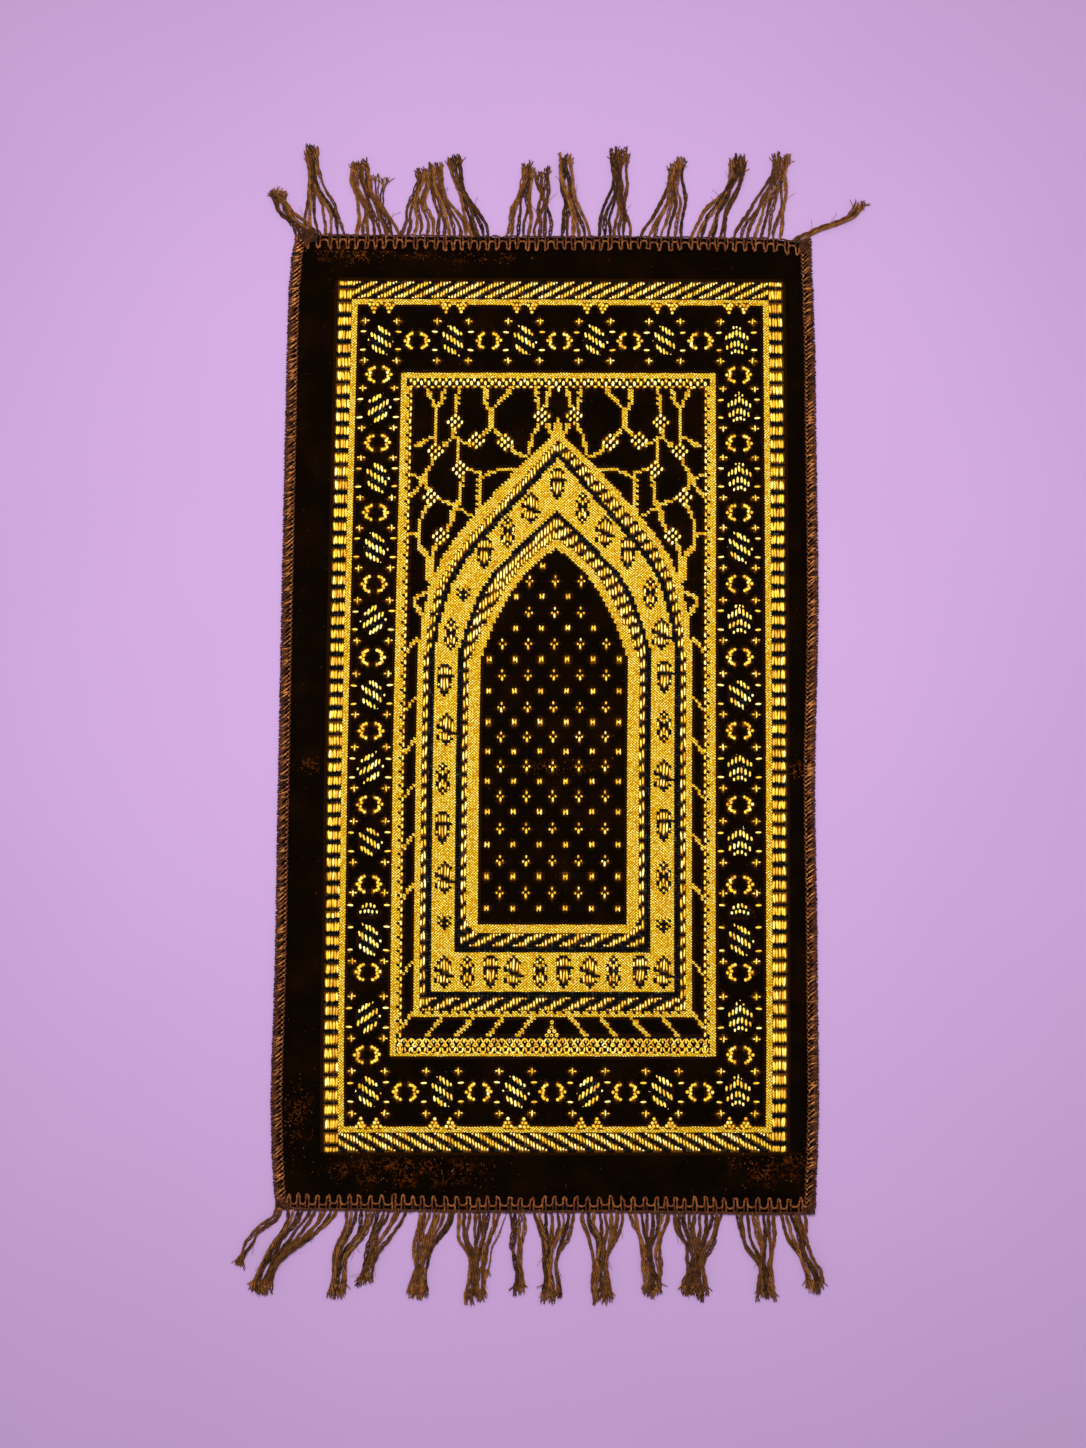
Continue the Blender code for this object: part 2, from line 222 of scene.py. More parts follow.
@dataclass(frozen=True)
class Ground:
    """Where the cells of the pattern lie on the rug."""

    columns: int = 158
    rows: int = 320
    left: float = -0.2445
    top: float = 0.4969
    cell_width: float = 0.0032304
    cell_height: float = 0.0030716
    axis: float = 78.5
    drifts: tuple[WeaveDrift, ...] = (
        WeaveDrift(0, (1.2, -0.3, -2.8), (-1.4, -0.2, 1.4)),
        WeaveDrift(30, (0.6, -0.5, -2.0), (-2.0, 0.0, 1.6)),
        WeaveDrift(80, (0.0, -1.0, -0.8), (-2.6, 0.2, 1.8)),
        WeaveDrift(126, (-0.5, -2.6, 0.0), (-2.9, 0.6, 2.0)),
        WeaveDrift(180, (-0.8, -3.5, 0.6), (-2.6, 0.0, 1.8)),
        WeaveDrift(236, (0.2, -3.0, 0.4), (-2.2, 0.0, 1.4)),
        WeaveDrift(284, (1.0, -2.0, 0.2), (-2.4, 0.0, 1.6)),
        WeaveDrift(320, (3.2, -1.0, -1.2), (-2.0, 0.0, 2.4)),
    )

    @property
    def right(self) -> float:
        """The x of the weave's right edge, before its drift."""
        return self.left + self.columns * self.cell_width

    @property
    def low(self) -> float:
        """The y of the weave's lower edge, before its drift."""
        return self.top - self.rows * self.cell_height

    def place(self, column: Any, row: Any) -> tuple[Any, Any]:
        """Returns the x and y of a place in the weave, with its slight unevenness.

        Args:
            column: The column boundary, a number or an array.
            row: The row boundary, a number or an array of the same shape.

        Returns:
            The x and the y.
        """
        across = 2.0 * np.asarray(column) / self.columns - 1.0
        weights = (across * (across - 1.0) / 2.0, 1.0 - across ** 2, across * (across + 1.0) / 2.0)
        stations = [station.row for station in self.drifts]
        shifts = []
        for name in ("x", "y"):
            tables = zip(*(getattr(station, name) for station in self.drifts))
            parts = (weight * np.interp(row, stations, table) for weight, table in zip(weights, tables))
            shifts.append(sum(parts) / 1000.0)
        return (self.left + np.asarray(column) * self.cell_width + shifts[0],
                self.top - np.asarray(row) * self.cell_height + shifts[1])

    def spot(self, column: float, row: float, z: float) -> tuple[float, float, float]:
        """Returns the point at a place in the weave and at a height."""
        x, y = self.place(column, row)
        return (float(x), float(y), z)


class Float(NamedTuple):
    """One upright gold thread that floats over a few rows."""

    column: float
    top: float
    bottom: float
    pale: float
    wide: float
    turn: float = 0.0


class PetalBand(NamedTuple):
    """A band of a flower: its middle row, where it spans, its floats' heights and their shade."""

    middle: float
    start: float
    stop: float
    heights: tuple[float, ...]
    pale: float
    slope: float = 1.0


class EndBand(NamedTuple):
    """A band of slanted stripes along an end: its first row, which way it faces, the first row of
    the solid line beside it, and how far apart, how steep and from where its stripes run."""

    first: int
    way: int
    solid: int
    pitch: float
    lean: float
    phase: float


@dataclass
class PatternChart:
    """The gold pattern, drawn cell by cell by the rules of its borders, arch and niche."""

    ground: Ground
    cells: np.ndarray = field(init=False)
    niche_depth: np.ndarray = field(init=False)
    floats: list[Float] = field(default_factory=list)
    float_width: float = 0.74
    stripe_float: float = 0.70
    motif_float: float = 0.66
    motif_pale: float = 0.35
    tallest_float: float = 4.6
    solid: float = 0.0076
    inner_solid: float = 0.0088
    side_solid: float = 0.0114
    line_half: float = 0.0026
    thick_line_half: float = 0.0035
    dash_pitch: float = 4.75
    dash_lean: float = 0.62
    niche_margin: float = 0.0075

    HALF_GAP = 0.18
    FLANK_STRIPE = 0.0108
    LOWERED = 0.6
    BLOCK_DEPTH = 5
    SOLID_WIDTH = 2
    BLOCK_BARS = 64
    BLOCK_PITCH = 5
    FIRST_BAR = 2.4
    BLOCK_LAGS = (((0, -0.4), (8, 1.0), (18, 2.4), (28, 2.4), (36, 1.4), (46, 0.9), (47, -0.5),
                   (63, -0.3)),
                  ((0, -0.4), (8, 1.0), (18, 2.4), (33, 2.4), (35, 1.0), (40, -0.4), (47, -1.5),
                   (63, -0.9)))
    BAND_ROWS = 7
    STRIPE_GAP = 2.2
    END_BANDS = (EndBand(0, 1, 7, 6.35, 1.74, 4.0), EndBand(313, -1, 311, 6.54, 1.62, 3.65))
    BORDER_COLUMNS = (15.5, 41.0, 66.2, 91.2, 116.0, 141.5)
    SIDE_FLOWERS = (15.1, 142.2)
    BORDER_ROWS = (22.8, 48.4, 74.5, 100.8, 127.8, 155.1, 182.0, 209.0, 239.9, 272.3, 298.8)
    TOP_LEANS = "\\\\\\\\\\^"
    BOTTOM_LEANS = "\\\\\\/\\^"
    LEFT_LEANS = "/\\\\/\\/\\2/"
    RIGHT_LEANS = "^^\\^\\^^2^"

    ARCH = ((56.4, 0.0), (69.0, 12.0), (76.5, 18.7), (88.5, 28.8), (95.6, 34.3), (104.6, 39.7),
            (114.3, 43.8), (128.0, 46.1), (135.5, 47.1), (141.0, 47.5), (272.4, 47.5), (272.4, 0.0))
    OUTER_LINE = ((65.6, 0.0), (78.6, 10.7), (88.5, 19.0), (97.5, 26.5), (104.6, 31.8),
                  (114.2, 37.1), (128.0, 40.6), (140.4, 42.5), (264.2, 42.5), (264.2, 0.0))
    INNER_LINE = ((88.0, 0.0), (99.9, 11.4), (109.3, 20.4), (118.2, 25.7), (128.0, 29.3),
                  (139.0, 32.4), (150.0, 32.5), (248.0, 32.5), (248.0, 0.0))
    NICHE = ((101.1, 0.0), (105.8, 6.2), (113.0, 12.4), (121.3, 17.3), (127.8, 20.5),
             (140.0, 24.7), (142.5, 25.5), (238.8, 25.5), (238.8, 0.0))

    ROSETTE = ("...#...", "..#i#..", "..i#i..", ".#.i.#.", ".i#i#i.", ".i###i.",
               "..#i#..", ".#iii#.", ".#i.i#.", ".ii#ii.", "..#i#..", "...#...")
    BAR = ("..###..", ".#iii#.", ".iiiii.", ".iiiii.", ".######", ".#iii#.",
           ".#iii#.", ".iiiii.", ".#iii#.", "..#i#..", "..###..", "...#...")
    SLANTED = ("...#...", "..#i#..", ".#iii#.", ".iiiii.", "#iiiii.", "###iii.",
               "..###i.", ".iii###", "#iiii..", "#iiii#.", "..###..", "...#...")
    SMALL = ("..i.i..", ".#.#.#.", "..###..", ".#i#i#.", "..###..", "...#...")
    FEET = ((1.5, -1.5), (2.8, -1.5), (4.1, -1.5), (2.2, -0.2), (3.4, -0.3), (2.7, 1.2))
    CROWN = ((0.0, -3.6), (0.0, -1.9), (-0.8, -0.5), (0.8, -0.4), (-1.7, 0.9), (0.0, 0.9), (1.7, 0.9))
    SPRIG_PITCH = 11.33
    SPRIG_LAGS = ((115, 150, 160, 182, 196, 206, 218, 238),
                  (-0.6, 0.35, 0.65, -0.4, -0.85, -0.35, 0.0, 0.4))
    RING = ((-1.7, -2.7), (-2.6, -2.3), (-3.3, -1.6), (-3.0, -0.7), (-4.2, -0.1), (-3.2, 0.6),
            (-3.4, 1.5), (-2.7, 2.1), (-1.8, 2.6))

    def __post_init__(self) -> None:
        """Draws the whole chart."""
        self.cells = np.zeros((self.ground.rows, self.ground.columns), dtype=np.int8)
        self.draw_side_blocks()
        self.draw_end_bands()
        self.draw_dark_border()
        self.draw_inner_frame()
        self.draw_arch()
        self.draw_band_motifs()
        self.draw_niche()
        self.draw_spandrels()
        self.draw_side_gaps()
        self.draw_lower_gap()

    def fill(self, rows: tuple[float, float], columns: tuple[float, float], kind: Cell) -> None:
        """Fills a block of cells, from its first row and column up to its last ones."""
        top, bottom = (int(round(value)) for value in rows)
        left, right = (int(round(value)) for value in columns)
        self.cells[max(top, 0):bottom, max(left, 0):right] = kind

    def add_float(self, column: float, top: float, bottom: float, pale: float = 0.5,
                  wide: float | None = None, turn: float = 0.0) -> None:
        """Lays one upright float and marks the cells under it.

        Args:
            column: The column index of the cell that it lies on; it may be a fraction.
            top: The row boundary where it starts.
            bottom: The row boundary where it ends.
            pale: How light its yarn looks, from 0 to 1.
            wide: Its width in cells, or None for the usual one.
            turn: How far it leans, in radians.
        """
        self.floats.append(Float(column + 0.5, top, bottom, pale, wide or self.float_width, turn))
        first, last = int(math.floor(top + 0.5)), int(math.floor(bottom + 0.5))
        place = int(round(column))
        if 0 <= place < self.ground.columns:
            self.cells[max(first, 0):max(last, first + 1), place] = Cell.FLOAT

    def blob(self, row: float, column: float, tall: float, wide: float, pale: float = 0.5) -> None:
        """Lays one dot or dash, given by its middle as row and column boundaries."""
        self.add_float(column - 0.5, row - tall / 2, row + tall / 2, pale, wide)

    def float_mask(self, mask: np.ndarray, pale: float) -> None:
        """Covers a mask with floats, one for each run of its cells down a column.

        Args:
            mask: True where the floats lie, the same shape as the chart.
            pale: How light their yarn looks.
        """
        for column in np.flatnonzero(mask.any(axis=0)):
            rows = np.flatnonzero(mask[:, column])
            for run in np.split(rows, np.flatnonzero(np.diff(rows) > 1) + 1):
                parts = max(1, math.ceil(len(run) / self.tallest_float))
                for part in np.array_split(run, parts):
                    self.add_float(float(column), float(part[0]) + self.HALF_GAP,
                                   float(part[-1] + 1) - self.HALF_GAP, pale, self.stripe_float)

    def motif(self, lines: Sequence[str], row: float, column: float) -> None:
        """Stamps a small motif given as a chart.

        A dot leaves a cell as it is, i is a part of a float and # a charcoal thread.

        Args:
            lines: The motif, a string for each row.
            row: The row boundary at its middle.
            column: The column boundary at its middle.
        """
        left = int(round(column - len(lines[0]) / 2))
        for across, marks in enumerate(zip(*lines), left):
            down = int(round(row - len(lines) / 2))
            for mark, run in groupby(marks):
                start, down = down, down + len(list(run))
                if mark == "#":
                    self.fill((start, down), (across, across + 1), Cell.THREAD)
                elif mark == "i":
                    self.add_float(across, start, down, self.motif_pale, self.motif_float)

    def on_chart(self, row: int, column: int) -> bool:
        """Tells whether a cell is on the chart."""
        return 0 <= row < self.ground.rows and 0 <= column < self.ground.columns

    def cluster(self, row: float, column: float) -> None:
        """Lays a berry of bright short floats in a diamond, and its mirror image.

        Args:
            row: The row boundary at its middle.
            column: The column boundary at its middle.
        """
        for place in (column, 2 * self.ground.axis - column):
            for step, count in enumerate((1, 2, 3, 2, 1)):
                down = row + (step - 2) * 1.30
                for number in range(count):
                    across = (number - (count - 1) / 2) * 2.45
                    self.add_float(place + across - 0.5, down - 0.85, down + 0.85, 0.9, 0.92, -0.22)

    def chain(self, points: Sequence[tuple[float, float]], wide: float = 1.1) -> None:
        """Weaves a thin stepped line, and its mirror image across the rug's middle.

        Args:
            points: Row and column boundaries that the line passes, in order.
            wide: Its width in cells.
        """
        places = np.array(points, dtype=float)
        lengths = np.concatenate([[0.0], np.cumsum(np.linalg.norm(np.diff(places, axis=0), axis=1))])
        steps = max(2, int(round(lengths[-1] / 0.45)))
        for number, along in enumerate(np.linspace(0.0, lengths[-1], steps)):
            row = int(np.interp(along, lengths, places[:, 0]))
            column = float(np.interp(along, lengths, places[:, 1])) + 0.25 * math.sin(1.7 * number)
            for place in (column, 2 * self.ground.axis - column):
                left, right = (math.floor(edge + 0.5) for edge in (place - wide / 2, place + wide / 2))
                stretch = self.cells[row, left:right]
                stretch[stretch == Cell.PILE] = Cell.FLAT

    def draw_side_blocks(self) -> None:
        """Draws the outermost columns: blocks of floats parted by charcoal bars."""
        last = self.ground.columns - 1
        sides = range(self.BLOCK_DEPTH), range(last, last - self.BLOCK_DEPTH, -1)
        for inset, columns, stations in zip((0.35, -0.35), sides, self.BLOCK_LAGS):
            numbers, lags = zip(*stations)
            bars = [self.FIRST_BAR + self.BLOCK_PITCH * number + float(np.interp(number, numbers, lags))
                    for number in range(self.BLOCK_BARS)]
            start = 0.1
            for bar in [*bars, self.ground.rows + 0.2]:
                for depth, column in enumerate(columns):
                    place, pale = (column, 0.0) if depth else (column + inset, 0.35)
                    self.add_float(place, start, bar - 0.1, pale, 0.93)
                self.fill((bar - 0.5, bar + 1.5), (min(columns), max(columns) + 1), Cell.THREAD)
                start = bar + 1.15

    def draw_end_bands(self) -> None:
        """Draws the slanted stripes and the solid lines along both ends of the pattern."""
        left, right = self.BLOCK_DEPTH, self.ground.columns - self.BLOCK_DEPTH
        for end in self.END_BANDS:
            self.fill((end.first, end.first + self.BAND_ROWS), (left, right), Cell.THREAD)
            for column in range(left, right):
                base = (column * end.way + end.phase) % end.pitch
                for repeat in range(-1, 5):
                    top = max((self.STRIPE_GAP - base + end.pitch * repeat) / end.lean, 0.15)
                    bottom = min((end.pitch - base + end.pitch * repeat) / end.lean, 6.6)
                    if bottom - top > 0.6:
                        clipped = min(top, 6.75 - bottom) < 0.3 and bottom - top < 1.6
                        self.add_float(column, end.first + top + 0.05, end.first + bottom - 0.1,
                                       0.95 if clipped else 0.5, 0.68, -0.16 * end.way)
            self.fill((end.solid, end.solid + self.SOLID_WIDTH), (left, right), Cell.FLAT)
        for start in (left, right - self.SOLID_WIDTH):
            self.fill((self.BAND_ROWS, self.ground.rows - self.BAND_ROWS),
                      (start, start + self.SOLID_WIDTH), Cell.FLAT)

    def flower(self, row: float, column: float, mark: str) -> None:
        """Draws one border flower with the crosses and dashes round it.

        Args:
            row: The row boundary at its middle.
            column: The column boundary at its middle.
            mark: A slash, a backslash or ^ for the lean of its bands, or 2 for a double one.
        """
        if mark == "2":
            self.petals(row - 5.7, column, Lean.PEAKED, crown=True)
            self.petals(row + 4.6, column, Lean.FALLING)
            for across in (-1, 1):
                for down in (-8.0, 0.0, 8.2):
                    self.blob(row + down, column + 6.2 * across, 0.85, 2.6, 0.6)
                for down in (-12.4, 12.2):
                    self.cross(row + down, column + 5.6 * across)
            return
        lean = {"/": Lean.RISING, "\\": Lean.FALLING, "^": Lean.PEAKED}[mark]
        self.petals(row, column, lean)
        for across in (-1, 1):
            for down in (-1, 1):
                self.cross(row + 7.5 * down, column + 5.6 * across)
                self.blob(row + 3.4 * down, column + 6.3 * across, 0.85, 2.6, 0.6)

    def cross(self, row: float, column: float) -> None:
        """Lays one small cross."""
        self.blob(row, column, 2.7, 0.62, 0.45)
        for across in (-0.9, 0.9):
            self.blob(row - 0.1, column + across, 0.62, 1.0, 0.3)

    def mirrored_dots(self, dots: Sequence[tuple[float, float]], row: float, column: float,
                      way: float = 1.0) -> None:
        """Lays a small motif of dots and its mirror image across its middle.

        Args:
            dots: How far across and down each dot lies from the middle.
            row: The row boundary at the motif's middle.
            column: The column boundary at its middle.
            way: 1, or -1 to turn it upside down.
        """
        for across, down in dots:
            for side in (-1.0, 1.0):
                self.blob(row + way * down, column + side * across, 1.35, 1.15, 0.15)

    def petals(self, row: float, column: float, lean: Lean, crown: bool = False) -> None:
        """Lays the bands of floats that make a flower.

        Args:
            row: The row boundary at its middle.
            column: The column boundary at its middle.
            lean: How its bands lean.
            crown: Whether only its upper half is woven.
        """
        bands = [PetalBand(-4.5, -1.9, 2.9, (1.6, 3.0, 3.2, 2.8, 1.5), 0.45),
                 PetalBand(-0.3, -3.2, 3.2, (2.6, 3.2, 3.3, 3.3, 3.2, 2.6), 0.45),
                 PetalBand(4.1, -2.7, 2.2, (2.4, 3.0, 3.2, 2.8, 1.6), 0.5),
                 PetalBand(0.0, -4.4, 4.4, (1.2, 1.2), 1.0, 0.15)]
        if lean is Lean.PEAKED:
            bands = [PetalBand(-5.9, -1.2, 1.2, (1.7, 2.2, 1.7), 0.6),
                     PetalBand(-3.4, -3.8, 3.8, (2.2, 2.7, 3.0, 3.0, 3.0, 2.7, 2.2), 0.45),
                     PetalBand(0.5, -3.3, 3.3, (2.4, 2.8, 2.8, 2.8, 2.8, 2.4), 0.45),
                     PetalBand(3.4, -1.9, 1.9, (1.6, 1.7, 1.7, 1.6), 0.8)]
        if crown:
            bands = [PetalBand(-2.8, -2.0, 2.0, (1.5, 2.4, 2.4, 1.5), 0.6),
                     PetalBand(-0.2, -2.8, 2.8, (1.4, 1.6, 1.6, 1.6, 1.4), 0.9, 0.4)]
        mirror = -1.0 if lean is Lean.RISING else 1.0
        for band in bands:
            places = np.linspace(band.start, band.stop, len(band.heights)) * mirror
            for place, tall in zip(places, band.heights):
                tilt = abs(place) if lean is Lean.PEAKED else place
                turn = 0.10 * np.sign(place) if lean is Lean.PEAKED else 0.22 * mirror
                middle = row + band.middle + lean.value * tilt * band.slope
                self.floats.append(Float(column + place, middle - tall / 2, middle + tall / 2,
                                         band.pale, 0.88, float(turn)))
        rows, columns = np.mgrid[0:self.ground.rows, 0:self.ground.columns] + 0.5
        near = np.hypot((columns - column) / 3.5, (rows - row) / (2.2 if crown else 4.4)) < 1.0
        self.cells[near & (self.cells == Cell.PILE)] = Cell.THREAD

    def draw_dark_border(self) -> None:
        """Draws the flowers, rings and feet of the wide dark border."""
        top, bottom = self.BORDER_ROWS[0], self.BORDER_ROWS[-1]
        for column, upper, lower in zip(self.BORDER_COLUMNS, self.TOP_LEANS, self.BOTTOM_LEANS):
            self.flower(top, column, upper)
            self.flower(bottom, column, lower)
            self.mirrored_dots(self.FEET, 10.6, column)
            self.mirrored_dots(self.FEET, 309.4, column, -1.0)
        for row, near, far in zip(self.BORDER_ROWS[1:-1], self.LEFT_LEANS, self.RIGHT_LEANS):
            self.flower(row, self.SIDE_FLOWERS[0], near)
            self.flower(row, self.SIDE_FLOWERS[1], far)
        for before, after in zip(self.BORDER_COLUMNS, self.BORDER_COLUMNS[1:]):
            for row in (top, bottom):
                self.mirrored_dots(self.RING, row, (before + after) / 2)
        for before, after in zip(self.BORDER_ROWS, self.BORDER_ROWS[1:]):
            for column in self.SIDE_FLOWERS:
                self.mirrored_dots(self.RING, (before + after) / 2, column)

    def draw_inner_frame(self) -> None:
        """Draws the thin frame inside the dark border: beads on three sides, lace below."""
        top, bottom = 35, 286
        for left, right in ((23, 25), (132, 134)):
            self.fill((top, bottom), (left, right), Cell.FLAT)
        for inner, middle in ((26, 25), (130, 131)):
            self.fill((top + 5, bottom), (middle, middle + 1), Cell.FLAT)
            for step in range(49):
                start = top + 5.0 + 5.0 * step
                self.fill((start + 3, start + 4), (middle, middle + 1), Cell.THREAD)
                self.add_float(inner, start, start + 1.6, 0.5, 0.8)
                self.add_float(inner, start + 2.4, start + 4.4, 0.3, 0.8)
        self.fill((top, top + 2), (23, 134), Cell.FLAT)
        self.fill((top + 2, top + 5), (25, 132), Cell.THREAD)
        for step in range(42):
            column = 26.5 + 2.5 * step
            self.blob(top + 2.7, column, 1.6, 1.0, 0.4)
            self.blob(top + 3.9, column + 1.25, 2.1, 1.05, 0.95)
            self.blob(top + 5.2, column, 0.9, 1.3, 0.1)
        self.fill((bottom - 7, bottom - 1), (25, 132), Cell.THREAD)
        self.fill((bottom - 1, bottom), (23, 134), Cell.FLAT)
        for step in range(41):
            column = 26.4 + 2.6 * step
            for way in (-1.0, 1.0):
                self.floats += (
                    Float(column, bottom - 7.0, bottom - 2.8, 0.1, 0.62, 0.60 * way),
                    Float(column + 0.85 * way, bottom - 3.4, bottom - 1.2, 0.1, 0.72, -0.22 * way),
                    Float(column + 1.3 * way, bottom - 6.4, bottom - 4.6, 0.3, 0.66))
            self.floats += (Float(column, bottom - 1.7, bottom - 0.8, 0.1, 1.9),
                            Float(column, bottom - 3.9, bottom - 3.0, 0.1, 1.5))

    def draw_arch(self) -> None:
        """Draws the bands of the arch: gold, stripes and the two charcoal lines."""
        ground = self.ground
        rows, columns = np.mgrid[0:ground.rows, 0:ground.columns] + 0.5
        across = np.abs(columns - ground.axis) * ground.cell_width
        centres = np.stack([across.ravel(), (rows * ground.cell_height).ravel()], axis=1)
        inside, near = {}, {}
        for name in ("ARCH", "OUTER_LINE", "INNER_LINE", "NICHE"):
            line = np.array([(half * ground.cell_width, row * ground.cell_height)
                             for row, half in getattr(self, name)])
            inside[name] = within(centres, line).reshape(rows.shape)
            near[name] = distance_to(centres, line).reshape(rows.shape)
        self.cells[inside["ARCH"]] = Cell.FLAT
        outer = inside["ARCH"] & ~inside["OUTER_LINE"] & (near["ARCH"] > self.solid)
        inner = inside["INNER_LINE"] & ~inside["NICHE"]
        upright = (rows > 130) & (rows < 238)
        inner &= near["NICHE"] > np.where(upright, self.side_solid, self.inner_solid)
        level = (rows > 238) & (np.abs(columns - ground.axis) < 42)
        slanted = np.mod(rows + self.dash_lean * columns, self.dash_pitch)
        dashes = slanted < np.where(level, 2.1, 1.05)
        left_flank = (columns < ground.axis) & (rows < 118)
        dashes &= ~left_flank
        outer &= ~left_flank | (near["OUTER_LINE"] < self.FLANK_STRIPE)
        charcoal = near["OUTER_LINE"] < np.where(left_flank, self.thick_line_half, self.line_half)
        charcoal |= near["INNER_LINE"] < self.line_half
        for stripe in (outer, inner):
            self.cells[stripe & dashes] = Cell.THREAD
            self.float_mask(stripe & ~dashes & ~charcoal, 0.55)
        self.cells[charcoal & inside["ARCH"]] = Cell.THREAD
        self.cells[inside["NICHE"]] = Cell.PILE
        self.niche_depth = np.where(inside["NICHE"], near["NICHE"], 0.0)
        self.fill((52, 54), (78, 79), Cell.FLAT)
        self.fill((54, 57), (77, 80), Cell.FLAT)
        self.blob(41.2, ground.axis, 2.4, 0.8, 0.3)
        for column in range(34, 124, 3):
            self.cells[270, column] = Cell.THREAD

    def draw_band_motifs(self) -> None:
        """Stamps the charcoal motifs on the wide gold band."""
        left = ((86.5, 70.0, self.SLANTED), (95.2, 61.0, self.ROSETTE), (103.4, 53.3, self.BAR),
                (118.3, 46.5, self.SMALL), (133.4, 42.2, self.ROSETTE), (150.4, 40.9, self.BAR),
                (168.3, 41.0, self.SLANTED), (186.4, 40.6, self.ROSETTE), (203.8, 40.8, self.BAR),
                (221.8, 41.0, self.SLANTED), (237.8, 41.0, self.SMALL))
        right = ((77.1, 78.8, self.BAR), (86.5, 87.0, self.ROSETTE), (95.2, 96.0, self.SLANTED),
                 (103.4, 103.7, self.BAR), (118.3, 111.0, self.ROSETTE),
                 (132.8, 115.0, self.SLANTED), (148.7, 116.5, self.BAR),
                 (167.4, 116.5, self.ROSETTE), (184.7, 116.5, self.SLANTED),
                 (203.3, 116.5, self.BAR), (221.8, 116.6, self.ROSETTE), (238.7, 116.6, self.SMALL))
        for row, column, lines in left + right:
            self.motif(lines, row, column)
        columns = (41.1, 49.1, 58.0, 65.6, 74.8, 82.7, 91.6, 99.0, 108.5, 116.6)
        order = (self.SLANTED, self.ROSETTE, self.BAR)
        for step, column in enumerate(columns):
            self.motif(order[step % len(order)], 256.4, column)

    def draw_niche(self) -> None:
        """Scatters the small sprigs over the dark niche."""
        for row, column in self.sprig_places(114.4, 11, (60, 69, 78, 87, 96)):
            self.blob(row - 1.9, column + 0.5, 1.3, 0.66, 0.25)
            self.blob(row + 0.7, column + 0.5, 2.1, 0.85, 0.35)
            for across in (-0.95, 0.95):
                self.blob(row - 0.3, column + 0.5 + across, 0.95, 0.66, 0.05)
        for row, column in self.sprig_places(108.2, 12, (56, 65, 74, 83, 92, 101)):
            for across in (-0.50, 0.50):
                self.blob(row + 0.1, column + across, 2.4, 0.60, 0.15)
            self.blob(row + 0.1, column, 0.8, 0.8, 0.3)

    def sprig_places(self, first: float, count: int, columns: Sequence[int]) -> list[tuple[float, int]]:
        """Returns where the sprigs of one kind stand, each well inside the niche.

        Args:
            first: The row boundary of the topmost ones.
            count: How many rows of them there are.
            columns: The columns that they stand on.

        Returns:
            The row boundary and the column of each.
        """
        rows = [first + self.SPRIG_PITCH * step for step in range(count)]
        rows = [row + float(np.interp(row, *self.SPRIG_LAGS)) for row in rows]
        return [(row, column) for row in rows for column in columns
                if self.niche_depth[int(row), column] > self.niche_margin]

    def spread(self, column: float) -> float:
        """Moves a column of the spandrel outwards, most of all halfway across it."""
        share = (self.ground.axis - column) / (self.ground.axis - 30.0)
        return column - 1.1 * math.sin(math.pi * min(max(share, 0.0), 1.0))

    def draw_spandrels(self) -> None:
        """Draws the twigs and berries above the arch, the same on both sides."""
        for points in (
            ((40, 32), (43.5, 34), (48, 36), (58, 36), (62, 29)),
            ((40, 39), (44, 38.5), (48, 36)),
            ((40, 44.5), (43, 43.8), (50, 43.4)),
            ((40, 54), (46, 54), (49, 56)),
            ((40, 63), (44, 60), (49, 56), (54, 56)),
            ((54, 57), (57, 54), (59, 52.5)),
            ((54, 56), (58, 59), (60, 60.5)),
            ((62, 62.5), (65, 65), (66.5, 69)),
            ((58, 36), (61, 36)),
            ((62, 39), (58.5, 42.5), (61.5, 48.6)),
            ((56, 42.8), (58.5, 42.5)),
            ((60.4, 44.3), (67.7, 44.3)),
            ((73, 46.5), (77, 45.6), (82.5, 45.4), (84.4, 44.3)),
            ((70.8, 48.5), (72.2, 51.7), (74, 53.5), (71.7, 56.4), (71.2, 60), (70.4, 64)),
            ((74, 52.3), (87.8, 52.3)),
            ((40, 71), (44, 71.5), (48.4, 72.4)),
            ((40, 75.5), (47.3, 74.5)),
            ((53.5, 72.3), (58.8, 70), (65, 69)),
            ((53.4, 75), (57.5, 76.2)),
            ((67, 35), (69.3, 34.6), (71, 33.5), (74, 31.8), (78.5, 33.6)),
            ((74, 31.5), (73, 27)),
            ((75, 31), (79, 29), (81, 27)),
            ((81.8, 37), (83, 40), (84.4, 43.4), (86.4, 46.8), (88.5, 50)),
            ((84.4, 43.4), (87, 43), (91, 42.4), (93.4, 40.6)),
            ((84, 33.6), (86, 32.8), (90.4, 30.5), (100, 30.4), (103, 33)),
            ((94.6, 27), (95.4, 29.7)),
            ((98.5, 37.2), (101, 36.2), (107.5, 35.4)),
        ):
            self.chain([(row + self.LOWERED, self.spread(column)) for row, column in points])
        for row, column in ((64, 36), (53, 43.2), (60, 51), (60.6, 61), (70.8, 45.2),
                            (50.7, 73.2), (81.3, 34.6), (96, 38.6)):
            self.cluster(row + self.LOWERED, self.spread(column))

    def draw_side_gaps(self) -> None:
        """Draws the rungs and the diamond loops between the arch and the inner frame."""
        for start in (134.3, 156.0, 171.9, 188.0, 206.2, 224.3, 252.0, 270.8):
            rung = (start, 30.8), (start + 1.4, 29.4), (start + 3.4, 28.4), (start + 4.8, 27.2)
            self.chain(rung, 1.0)
        self.chain(((117.0, 33.6), (119.0, 30.6), (121.0, 29.2), (123.0, 30.4), (126.2, 32.6)), 1.2)
        self.chain(((107.0, 34.6), (113.0, 34.6)), 2.5)
        self.chain(((100.0, 30.4), (102.5, 33.6), (107.0, 34.0)))

    def draw_lower_gap(self) -> None:
        """Draws the slanted threads and the small crown below the arch."""
        for start in (40.7, 51.2, 61.8, 72.0):
            self.chain(((272.5, start), (279.6, start - 5.6)), 1.2)
        self.mirrored_dots(self.CROWN, 277.6, self.ground.axis)


